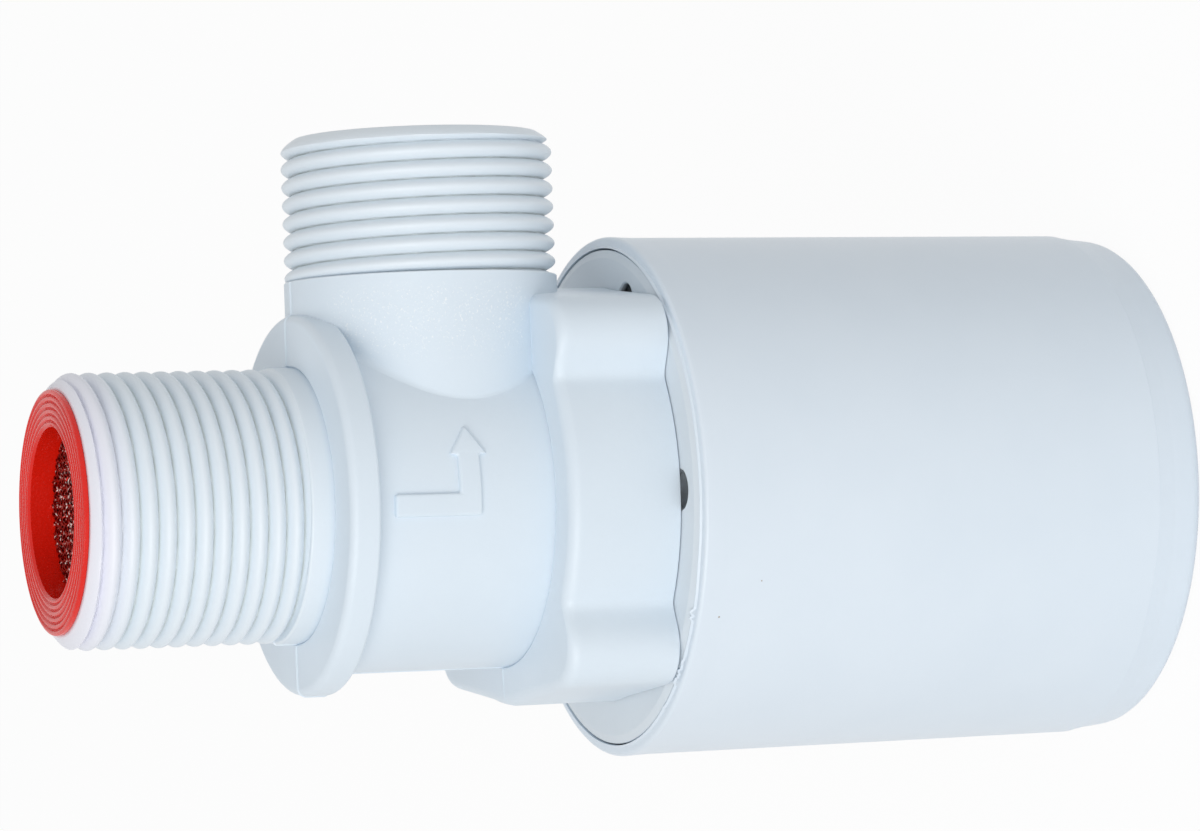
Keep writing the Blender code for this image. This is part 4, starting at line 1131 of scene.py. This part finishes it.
# %% Vents and holes of the cover
VENT_RADIUS = 1.9
VENT_CIRCLE = 20.2
VENT_CAVITY = 2.6
VENT_SKIN = 0.5
REAR_VENT_SHIFT = 0.8
EDGE_DEPTH = 0.15
EDGE_OVER = 0.05
EDGE_BEVEL = 0.2
PIN_HOLE = 0.7
PIN_CIRCLE = 6.4
PIN_SEAT_DEPTH = 1.4
# Each row is a name, a radius, the radius below the skin, a count, a circle and a start in degrees.
COVER_HOLES = (
    ("front_vents", VENT_RADIUS, VENT_CAVITY, 2, VENT_CIRCLE, -90),
    ("side_vent", VENT_RADIUS, VENT_CAVITY, 1, VENT_CIRCLE, -22.5),
    ("rear_vent", VENT_RADIUS, VENT_CAVITY, 1, VENT_CIRCLE - REAR_VENT_SHIFT, 157.5),
    ("cover_holes", SCREW_HOLE, SCREW_HOLE, SCREW_COUNT, SCREW_CIRCLE, SCREW_START),
)

holes = []
for name, radius, cavity, count, circle, start in COVER_HOLES:
    wide = radius + EDGE_BEVEL
    drill = turned(name + "_drill", [
        (0, plate_z - PAST), (cavity, plate_z - PAST), (cavity, cover_z - 2 * VENT_SKIN),
        (radius, cover_z - VENT_SKIN), (radius, cover_z - EDGE_DEPTH), (wide, cover_z + EDGE_OVER),
        (wide, cover_z + PAST), (0, cover_z + PAST)], steps=48)
    holes.append(ring_of(name, drill, count, circle, start, cover_plastic))
pin_floor = bowl_z - PIN_SEAT_DEPTH
pin_drill = turned("pin_drill", [
    (0, pin_floor), (PIN_HOLE, pin_floor), (PIN_HOLE, bowl_z + PAST), (0, bowl_z + PAST)], steps=24)
holes.append(ring_of("pin_seat", pin_drill, 1, PIN_CIRCLE, 0, cover_plastic))
combine(pilot_cover, "DIFFERENCE", *holes)
dress(pilot_cover, cover_plastic, "housing", "cover_white", "pilot_cover")

# %% [markdown]
# ## Strainer ring
#
# A red ring caps the inlet and holds the net. Its face was turned in the mould and carries a few narrow
# grooves. They could be bump in the material, but at the low angle of the photograph only real grooves
# catch a shadow, so a power of a cosine cuts them into the ring's outline.

# %% Strainer ring
PLUG_RADIUS = 10.6
STRAINER_HOLE = 8.15
STRAINER_LEDGE = 0.9
STRAINER_FLANGE = 0.58
STRAINER_EXTRA = 0.2
FACE_GROOVES = 5
FACE_RELIEF = 0.24
FACE_MARGIN = 0.25
FACE_DROP = 0.12
GROOVE_SHARPNESS = 2.5
GROOVE_STEPS = 12

strainer_radius = strainer_high[0] + STRAINER_EXTRA
strainer_z = strainer_high[2]
flange_under = strainer_z - STRAINER_FLANGE
plug_z = strainer_low[2]
ledge_z = net_low[2] - FIT
ledge_radius = STRAINER_HOLE - STRAINER_LEDGE
face_width = strainer_radius - 2 * FACE_MARGIN - STRAINER_HOLE
face = []
for step in range(FACE_GROOVES * GROOVE_STEPS + 1):
    part = step / (FACE_GROOVES * GROOVE_STEPS)
    dip = FACE_RELIEF * (0.5 - 0.5 * math.cos(math.tau * FACE_GROOVES * part)) ** GROOVE_SHARPNESS
    face.append((STRAINER_HOLE + FACE_MARGIN + face_width * part, strainer_z - dip))
filter_frame = turned("filter_frame", [
    (STRAINER_HOLE, strainer_z - FACE_MARGIN), *face, (strainer_radius, strainer_z - FACE_DROP, CRISP),
    (strainer_radius, flange_under, CRISP), (PLUG_RADIUS, flange_under), (PLUG_RADIUS, plug_z, SOFT),
    (ledge_radius, plug_z, NEAT), (ledge_radius, ledge_z, FINE), (STRAINER_HOLE, ledge_z)])
dress(filter_frame, red_plastic, "strainer", "red_plastic", "filter_frame")

# %% [markdown]
# ## Woven net
#
# The net keeps grit out. It is woven from drawn wire, over and under, and has been pressed in by hand, so
# it is a little crumpled. A texture of holes would look flat from the side, so every wire is made: Geometry
# Nodes lay straight wires a pitch apart, sway them with two cosines, bend them with a noise, trim them to
# the round and give them thickness. The second layer is the first one turned and swayed the other way.

# %% Net tree
WIRE_SIDES = 6


def net_maker():
    """Tree that weaves a round net from two layers of wire."""
    tree, given = new_tree("woven_net", {
        "Radius": "Float", "Pitch": "Float", "Wire": "Float", "Count": "Int", "Points": "Int",
        "Height": "Float", "Turn": "Float", "Bend Scale": "Float", "Bend Reach": "Float",
        "Finish": "Material"})
    back = add(tree, MATH, {0: given["Radius"], 1: -1.0}, operation="MULTIPLY")
    begin = add(tree, COMBINE_XYZ, {"X": back})
    end = add(tree, COMBINE_XYZ, {"X": given["Radius"]})
    line = add(tree, "GeometryNodeCurvePrimitiveLine", {"Start": begin, "End": end})
    fine_line = add(tree, "GeometryNodeResampleCurve", {"Curve": line, "Count": given["Points"]})
    last = add(tree, MATH, {0: given["Count"], 1: 1.0}, operation="SUBTRACT")
    centre = add(tree, MATH, {0: last, 1: 0.5}, operation="MULTIPLY")
    number = add(tree, "GeometryNodeInputIndex")
    order = add(tree, MATH, {0: number, 1: centre}, operation="SUBTRACT")
    offset = add(tree, MATH, {0: order, 1: given["Pitch"]}, operation="MULTIPLY")
    spot = add(tree, COMBINE_XYZ, {"Y": offset})
    spots = add(tree, "GeometryNodePoints", {"Count": given["Count"], "Position": spot})
    wires = add(tree, "GeometryNodeInstanceOnPoints", {"Points": spots, "Instance": fine_line})
    laid = add(tree, "GeometryNodeRealizeInstances", {0: wires})

    place = add(tree, "GeometryNodeInputPosition")
    axes = add(tree, SEPARATE_XYZ, {0: place}).outputs
    waves = []
    for axis in ("X", "Y"):
        grid = add(tree, MATH, {0: axes[axis], 1: given["Pitch"]}, operation="DIVIDE")
        swing = add(tree, MATH, {0: grid, 1: math.pi}, operation="MULTIPLY")
        waves.append(add(tree, MATH, {0: swing}, operation="COSINE"))
    both = add(tree, MATH, {0: waves[0], 1: waves[1]}, operation="MULTIPLY")
    crumple = add(tree, NOISE, {"Scale": given["Bend Scale"], "Detail": 1.0}).outputs["Color"]
    either_way = add(tree, VECTOR_MATH, {0: crumple, 1: (0.5, 0.5, 0.5)}, operation="SUBTRACT")
    bent = add(tree, VECTOR_MATH, {0: either_way, "Scale": given["Bend Reach"]}, operation="SCALE")
    reach = add(tree, VECTOR_MATH, {0: place}, operation="LENGTH").outputs["Value"]
    outside = add(tree, "FunctionNodeCompare", {0: reach, 1: given["Radius"]}, operation="GREATER_THAN")
    section = add(tree, "GeometryNodeCurvePrimitiveCircle", {
        "Resolution": WIRE_SIDES, "Radius": given["Wire"]})

    net = add(tree, "GeometryNodeJoinGeometry")
    for side, sway in ((0.0, 1.0), (math.pi / 2, -1.0)):
        turned_wires = add(tree, "GeometryNodeTransform", {"Geometry": laid, "Rotation": (0, 0, side)})
        signed = add(tree, MATH, {0: both, 1: sway}, operation="MULTIPLY")
        lift = add(tree, MATH, {0: signed, 1: given["Wire"]}, operation="MULTIPLY")
        up = add(tree, COMBINE_XYZ, {"Z": lift})
        move = add(tree, VECTOR_MATH, {0: up, 1: bent}, operation="ADD")
        woven = add(tree, "GeometryNodeSetPosition", {"Geometry": turned_wires, "Offset": move})
        trimmed = add(tree, "GeometryNodeDeleteGeometry", {
            "Geometry": woven, "Selection": outside}, domain="POINT")
        layer = add(tree, "GeometryNodeCurveToMesh", {
            "Curve": trimmed, "Profile Curve": section, "Fill Caps": True})
        tree.links.new(layer.outputs[0], net.inputs[0])
    raised = add(tree, COMBINE_XYZ, {"Z": given["Height"]})
    twist = add(tree, COMBINE_XYZ, {"Z": given["Turn"]})
    placed = add(tree, "GeometryNodeTransform", {"Geometry": net, "Translation": raised, "Rotation": twist})
    return end_tree(tree, placed, given["Finish"])


net_tree = net_maker()
print("net tree has", len(net_tree.nodes), "nodes")

# %% Woven net
WIRE_PITCH = 0.62
WIRE_RADIUS = 0.085
POINTS_PER_PITCH = 6
BEND_SIZE = 1.4
BEND_REACH = 0.6
NET_TURN = math.radians(45)
NET_GAP = 0.05

net_radius = STRAINER_HOLE - NET_GAP
filter_mesh = made_by(
    "filter_mesh", net_tree, radius=net_radius * MM, pitch=WIRE_PITCH * MM, wire=WIRE_RADIUS * MM,
    count=2 * int(net_radius / WIRE_PITCH) + 1, points=round(2 * net_radius / WIRE_PITCH * POINTS_PER_PITCH),
    height=(net_low[2] + net_high[2]) / 2 * MM, turn=NET_TURN, bend_scale=per_metre(BEND_SIZE),
    bend_reach=BEND_REACH * MM, finish=wire_steel)
dress(filter_mesh, wire_steel, "strainer", "stainless_wire", "filter_mesh")

# %% [markdown]
# ## Diaphragm
#
# Under the seat a rubber diaphragm opens and shuts the main flow. Its rim is clamped and its web rolls down
# to the core's hole. It is a turned form, so it is an outline with rounded corners. Rubber can't follow the
# core as a stiff piece does, and a simulation would be slow. Here the diaphragm only gets a mesh of its own.

# %% Diaphragm
WEB_THICKNESS = 1.6
CLAMP_THICKNESS = 1.5
CORE_HOLE = 2.3
ROLL_INNER = 9.6
ROLL_OUTER = 13.5
ROLL_SHIFT = 0.5
SEAL_RIB = 0.2
SEAL_INSET = 1.2


def heights(node):
    """Lowest and highest level of a solid, in millimetres, and its radius."""
    low, high = box_mm(node)
    return low[2], high[2], (high[0] - low[0]) / 2


def drilled(piece, low, high):
    """Cut the hole of the bleed pin through a piece, from below its lowest level to above its highest."""
    drill = turned("drill", [
        (0, low - PAST), (PIN_HOLE, low - PAST), (PIN_HOLE, high + PAST), (0, high + PAST)], steps=32)
    return combine(piece, "DIFFERENCE", shifted(drill, x=PIN_CIRCLE))


low, high, rim = heights("diaphragm")
web_z = low + WEB_THICKNESS
clamp_z = high - CLAMP_THICKNESS
rib = rim - SEAL_INSET
diaphragm = turned("diaphragm", [
    (CORE_HOLE, low, FINE), (ROLL_INNER + ROLL_SHIFT, low, DEEP), (ROLL_OUTER + ROLL_SHIFT, clamp_z, SOFT),
    (rim, clamp_z, SOFT), (rim, high, SOFT), (rib + SEAL_RIB, high), (rib, high + SEAL_RIB, CRISP),
    (rib - SEAL_RIB, high), (ROLL_OUTER, high, DEEP), (ROLL_INNER, web_z, DEEP), (CORE_HOLE, web_z, FINE)])
drilled(diaphragm, low, high)
dress(diaphragm, rubber, "housing", "black_rubber", "diaphragm")
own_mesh(diaphragm)

# %% [markdown]
# ## Plate, core and bleed pin
#
# A plate backs the diaphragm from below, a core passes through both and shuts the seat, and a wire pin
# keeps the bleed hole clear. Primitives would give their bare cylinders, but turned outlines also give
# the plate's pocket, the core's head and the broken edges.

# %% Diaphragm plate
POCKET_DEPTH = 0.7
POCKET_INNER = 4.2
POCKET_OUTER = 8.4
POCKET_SLOPE = 0.4

low, high, rim = heights("diaphragm_plate")
pocket_z = low + POCKET_DEPTH
plate = turned("diaphragm_plate", [
    (CORE_HOLE, low, FINE), (POCKET_INNER, low, FINE), (POCKET_INNER + POCKET_SLOPE, pocket_z, FINE),
    (POCKET_OUTER - POCKET_SLOPE, pocket_z, FINE), (POCKET_OUTER, low, FINE), (rim, low, NEAT),
    (rim, high, FULL), (CORE_HOLE, high, FINE)], steps=128)
drilled(plate, low, high)
dress(plate, acetal, "valve_disc", "natural_acetal", "diaphragm_plate")

# %% Core and bleed pin
CORE_STEM = 2.0
CORE_TIP = 2.2
CORE_HEAD_HEIGHT = 3.0

low, high, rim = heights("diaphragm_core")
head_z = high - CORE_HEAD_HEIGHT
core = turned("diaphragm_core", [
    (0, low), (CORE_STEM, low, SOFT), (CORE_STEM, head_z, CRISP), (rim, head_z, NEAT),
    (CORE_TIP, high, BROAD), (0, high)], steps=96)
dress(core, acetal, "valve_disc", "natural_acetal", "diaphragm_core")

low, high, rim = heights("bleed_pin")
pin = turned("bleed_pin", [(0, low), (rim, low, CRISP), (rim, high, NEAT), (0, high)], steps=32)
dress(shifted(pin, x=PIN_CIRCLE), pin_steel, "housing", "stainless_wire", "bleed_pin")

# %% [markdown]
# ## Pilot nozzle
#
# The nozzle is turned from brass, with a spanner hexagon and a fine thread, and a rubber washer seals its
# head. The thread comes from the tree that made the pipe threads, with finer sizes, and the parts of the
# nozzle are united before its passage is drilled.

# %% Pilot nozzle
NOZZLE_ORIFICE = 0.5
NOZZLE_TIP = 1.5
NOZZLE_TIP_LENGTH = 1.0
NOZZLE_TAPER = 0.5
NOZZLE_COLLAR = 0.1
NOZZLE_SINK = 0.4
NOZZLE_BORE = 1.0
NOZZLE_FUNNEL = 0.5
NOZZLE_SHANK = 2.2
NOZZLE_CHAMFER = 0.3
NOZZLE_SIDES = 48
HEX_HEIGHT = 1.2
HEX_EDGE = 0.2
HEX_CHAMFER = 0.94
FINE_DEPTH = 0.22
FINE_PITCH = 0.75


def prism(name, corners, levels):
    """A solid with the same corners at each level, given as (height, scale)."""
    rings = []
    for height, scale in levels:
        rings.append(np.column_stack((np.array(corners) * scale, np.full(len(corners), height))))
    return surface(name, rings, closed=False)


low, high, rim = heights("pilot_nozzle")
hex_z = low + NOZZLE_TIP_LENGTH
hex_top = hex_z + HEX_HEIGHT
nozzle = turned("pilot_nozzle", [
    (0, low), (NOZZLE_TIP - NOZZLE_TAPER, low, KEEN), (NOZZLE_TIP, hex_z - NOZZLE_COLLAR),
    (NOZZLE_TIP, hex_z + NOZZLE_SINK), (0, hex_z + NOZZLE_SINK)], steps=64)
six = [(rim * math.cos(corner * math.pi / 3), rim * math.sin(corner * math.pi / 3)) for corner in range(6)]
hexagon = prism("hexagon", six, [
    (hex_z, HEX_CHAMFER), (hex_z + HEX_EDGE, 1), (hex_top - HEX_EDGE, 1), (hex_top, HEX_CHAMFER)])
shank_length = high - hex_z - HEX_HEIGHT + HEX_EDGE
shank = threaded_rod("nozzle_shank", shank_length, NOZZLE_SHANK, FINE_DEPTH, FINE_PITCH, FINE_PITCH,
                     NOZZLE_CHAMFER, shank_length - 2 * FINE_PITCH, NOZZLE_SIDES, brass)
combine(nozzle, "UNION", hexagon, shifted(shank, z=high))
combine(nozzle, "DIFFERENCE", turned("passage", [
    (0, low - PAST), (NOZZLE_ORIFICE, low - PAST), (NOZZLE_ORIFICE, hex_z),
    (NOZZLE_BORE, hex_z + NOZZLE_FUNNEL), (NOZZLE_BORE, high + PAST), (0, high + PAST)], steps=48))
dress(nozzle, brass, "housing", "brass", "pilot_nozzle")

# %% Nozzle washer
WASHER_ROUND = 0.25

low, high, rim = heights("nozzle_washer")
washer = turned("nozzle_washer", [
    (SHANK_BORE, low, WASHER_ROUND), (rim, low, NEAT), (rim, high, NEAT), (SHANK_BORE, high, WASHER_ROUND)],
    steps=96)
dress(washer, rubber, "housing", "black_rubber", "nozzle_washer")

# %% [markdown]
# ## Cover screws
#
# Four pan head screws hold the cover to the lobes. One screw is made, with its thread from the thread tree
# and a cross recess that two tapered blocks cut, and the ring tree sets copies of it in their circle. One
# mesh stands for all four solids, because they move together.

# %% Cover screws
SCREW_HEAD = 2.6
SCREW_HEAD_HEIGHT = 1.8
SCREW_RADIUS = 1.3
SCREW_GROOVE = 0.28
SCREW_PITCH = 0.95
SCREW_CHAMFER = 0.7
SCREW_SIDES = 24
RECESS_ARM = 1.4
RECESS_HALF = 0.3
RECESS_DEPTH = 0.9
RECESS_TAPER = 0.6
SCREW_NODES = [f"cover_screw_{number}" for number in range(1, SCREW_COUNT + 1)]

low, high, _ = heights(SCREW_NODES[0])
screw = turned("cover_screw", [
    (0, low), (SCREW_HEAD, low, DEEP), (SCREW_HEAD, low + SCREW_HEAD_HEIGHT, CRISP),
    (0, low + SCREW_HEAD_HEIGHT)], steps=64)
screw_length = high - low - SCREW_HEAD_HEIGHT + OVERLAP
screw_shank = threaded_rod("screw_shank", screw_length, SCREW_RADIUS, SCREW_GROOVE, SCREW_PITCH, SCREW_PITCH,
                           SCREW_CHAMFER, screw_length - 2 * SCREW_PITCH, SCREW_SIDES, zinc_steel)
combine(screw, "UNION", shifted(screw_shank, z=high))
recesses = []
for half_x, half_y in ((RECESS_ARM, RECESS_HALF), (RECESS_HALF, RECESS_ARM)):
    corners = [(half_x, half_y), (-half_x, half_y), (-half_x, -half_y), (half_x, -half_y)]
    recesses.append(prism("recess", corners, [(low - PAST, 1), (low, 1), (low + RECESS_DEPTH, RECESS_TAPER)]))
combine(screw, "DIFFERENCE", *recesses)
cover_screws = ring_of("cover_screws", screw, SCREW_COUNT, SCREW_CIRCLE, SCREW_START, zinc_steel)
dress(cover_screws, zinc_steel, "housing", "plated_steel", *SCREW_NODES)

# %% [markdown]
# ## The float
#
# A hollow cup with a lid welded on: air inside makes it rise. Six ribs guide it in the casing with a gap
# for the water, and their ends run in softly so that they don't catch. A rib is skinned from four outlines,
# because an extrusion would have no run-in, and the ring tree sets the six.

# %% Float cup with its ribs
FLOAT_WALL = 1.2
FLOAT_ROUND = 1.5
RIB_COUNT = 6
RIB_START = 30
RIB_HALF = 0.8
RIB_ROUND = 0.5
RIB_LEAD = 1.6
RIB_TIP = 0.1

low, high, float_radius = heights("float_shell")
float_bore = float_radius - FLOAT_WALL
rib_root = float_radius - FLOAT_WALL / 2
rib_reach = box_mm("float_shell")[1][1]
rib_tip = float_radius + RIB_TIP
float_shell = turned("float_shell", [
    (0, low), (float_radius, low, FLOAT_ROUND), (float_radius, high, NEAT), (float_bore, high, FINE),
    (float_bore, low + FLOAT_WALL, DEEP), (0, low + FLOAT_WALL)])
rib_rings = []
for height, nose in ((low + OVERLAP, rib_tip), (low + OVERLAP + RIB_LEAD, rib_reach),
                     (high - OVERLAP - RIB_LEAD, rib_reach), (high - OVERLAP, rib_tip)):
    rib_outline = rounded([
        (rib_root, -RIB_HALF), (nose, -RIB_HALF, RIB_ROUND), (nose, RIB_HALF, RIB_ROUND),
        (rib_root, RIB_HALF)])
    rib_rings.append(np.column_stack((rib_outline, np.full(len(rib_outline), height))))
float_rib = surface("float_rib", rib_rings, closed=False)
combine(float_shell, "UNION", ring_of("float_ribs", float_rib, RIB_COUNT, 0, RIB_START, float_plastic))
dress(float_shell, float_plastic, "float", "moulded_white", "float_shell")

# %% [markdown]
# ## Lid, holder and pad
#
# The lid plugs into the cup. On top a small holder grips the rubber pad that shuts the pilot nozzle. All
# three are plain turned forms, so an outline each is enough.

# %% Float lid
LID_THICKNESS = 1.5
LID_ROUND = 0.7

low, high, rim = heights("float_lid")
lid_z = high - LID_THICKNESS
plug = float_bore - FIT
float_lid = turned("float_lid", [
    (CORE_HOLE, high, NEAT), (rim, high, LID_ROUND), (rim, lid_z, KEEN), (plug, lid_z), (plug, low, NEAT),
    (plug - FLOAT_WALL, low, NEAT), (plug - FLOAT_WALL, lid_z, FULL), (CORE_HOLE, lid_z, FINE)])
dress(float_lid, float_plastic, "float", "moulded_white", "float_lid")

# %% Pad holder and pad
HOLDER_STEM = 2.0
HOLDER_STEM_LENGTH = 2.4
HOLDER_FLOOR = 0.8
HOLDER_WALL = 0.9
PAD_ROUND = 0.35

low, high, rim = heights("pad_holder")
holder_z = low + HOLDER_STEM_LENGTH
holder_floor = holder_z + HOLDER_FLOOR
pad_holder = turned("pad_holder", [
    (0, low), (HOLDER_STEM, low, SOFT), (HOLDER_STEM, holder_z, CRISP), (rim, holder_z, NEAT),
    (rim, high, NEAT), (rim - HOLDER_WALL, high, FINE), (rim - HOLDER_WALL, holder_floor, KEEN),
    (0, holder_floor)], steps=96)
dress(pad_holder, acetal, "float", "natural_acetal", "pad_holder")

low, high, rim = heights("pilot_pad")
pilot_pad = turned("pilot_pad", [(0, low), (rim, low, FINE), (rim, high, PAD_ROUND), (0, high)], steps=96)
dress(pilot_pad, rubber, "float", "black_rubber", "pilot_pad")

# %% [markdown]
# ## Floor
#
# The photograph has a pure white ground. More light would burn out the pale plastic, so the floor shows
# white to the camera and to reflections by itself, yet keeps a part of its own shading so that the valve's
# shadow stays on it.

# %% Floor
FLOOR_SIZE = 6.0
FLOOR_GLOW = 0.94


def seen_directly(tree):
    """One for a ray from the camera, a mirror or a clear piece, and zero for light that bounces."""
    path = add(tree, "ShaderNodeLightPath").outputs
    seen = add(tree, MATH, {0: path["Is Camera Ray"], 1: path["Is Glossy Ray"]}, operation="MAXIMUM")
    return add(tree, MATH, {0: seen, 1: path["Is Transmission Ray"]}, operation="MAXIMUM")


floor_white = bpy.data.materials.new("white_floor")
floor_tree = cleared(floor_white)
glow_share = add(floor_tree, MATH, {0: seen_directly(floor_tree), 1: FLOOR_GLOW}, operation="MULTIPLY")
matte = add(floor_tree, "ShaderNodeBsdfDiffuse", {"Color": colour("F4F5F6")})
glow = add(floor_tree, "ShaderNodeEmission", {"Color": colour("FFFFFF"), "Strength": 1.0})
mixed = add(floor_tree, "ShaderNodeMixShader", {0: glow_share, 1: matte, 2: glow})
add(floor_tree, "ShaderNodeOutputMaterial", {"Surface": mixed})

floor = put("floor", bpy.data.meshes.new("floor"))
far = FLOOR_SIZE / 2
floor.data.from_pydata([(-far, -far, 0), (far, -far, 0), (far, far, 0), (-far, far, 0)], [], [(0, 1, 2, 3)])
floor.data.materials.append(floor_white)
floor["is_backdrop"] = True
print("floor of", FLOOR_SIZE, "m")

# %% [markdown]
# ## Light
#
# The light is soft and comes from the viewer's side and a little from the flange's low side. A sky all
# round fills the shadows, and two square lamps give the forms their slow shading. Sun lamps would draw hard
# shadows that the photograph doesn't have.

# %% World and lamps
AMBIENT = 0.53
LAMP_AIM = Vector((0, 0, 0.055))

world = bpy.data.worlds.new("soft_studio")
bpy.context.scene.world = world
sky_tree = cleared(world)
sky_level = add(sky_tree, MAP_RANGE, {"Value": seen_directly(sky_tree), "To Min": AMBIENT, "To Max": 1.0})
sky = add(sky_tree, "ShaderNodeBackground", {"Color": colour("FFFFFF"), "Strength": sky_level})
add(sky_tree, "ShaderNodeOutputWorld", {"Surface": sky})


def softbox(name, place, power, size):
    """A square lamp that looks at the middle of the valve, in metres and watts."""
    lamp = bpy.data.lights.new(name, "AREA")
    lamp.energy = power
    lamp.size = size
    aim = Vector(place) - LAMP_AIM
    facing = aim.to_track_quat("Z", "Y").to_matrix().to_4x4()
    put(name, lamp).matrix_world = Matrix.Translation(place) @ facing


softbox("key", (-0.46, -0.80, 0.58), 4.65, 0.7)
softbox("fill", (0.10, -0.95, 0.50), 0.6, 0.9)
print("lamps:", [item.name for item in bpy.data.lights])

# %% [markdown]
# ## Camera
#
# The photograph shows the valve lying on its side, so the camera is rolled: the valve's X points up in the
# picture. Angles, distance and focal length were fitted to the threads and rims that the photograph shows.

# %% Camera
PHOTO_WIDTH = 1200
FOCAL_PIXELS = 5426.4
AZIMUTH = math.radians(-2.3)
ELEVATION = math.radians(20.978)
ROLL = math.radians(-2.15)
DISTANCE = 535.2
TARGET = Vector((8.03, 0, 53.51))
SENSOR = 36.0
CLIP_START = 0.01

level = math.cos(ELEVATION)
back = Vector((math.sin(AZIMUTH) * level, -math.cos(AZIMUTH) * level, math.sin(ELEVATION)))
level_right = (-back).cross(Vector((1, 0, 0))).normalized()
level_up = level_right.cross(-back)
right = math.cos(ROLL) * level_right + math.sin(ROLL) * level_up
up = math.cos(ROLL) * level_up - math.sin(ROLL) * level_right
lens = bpy.data.cameras.new("camera")
lens.sensor_fit = "HORIZONTAL"
lens.sensor_width = SENSOR
lens.lens = FOCAL_PIXELS * SENSOR / PHOTO_WIDTH
lens.clip_start = CLIP_START
camera = put("camera", lens)
view_axes = Matrix((right, up, back)).transposed().to_4x4()
camera.matrix_world = Matrix.Translation((TARGET + back * DISTANCE) * MM) @ view_axes
bpy.context.scene.camera = camera
bpy.context.scene.view_settings.view_transform = "Standard"
print("lens", round(lens.lens, 1), "mm")

# %% [markdown]
# ## Keep the size
#
# The dressed valve must not grow past its solids, so both boxes are written side by side.

# %% Write both boxes and finish
boxes = {"cad": [list(corner) for corner in cad_box], "visual": [list(corner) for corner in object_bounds()]}
for name, box in boxes.items():
    print(name, "box in mm:", [[round(value / MM, 2) for value in corner] for corner in box])
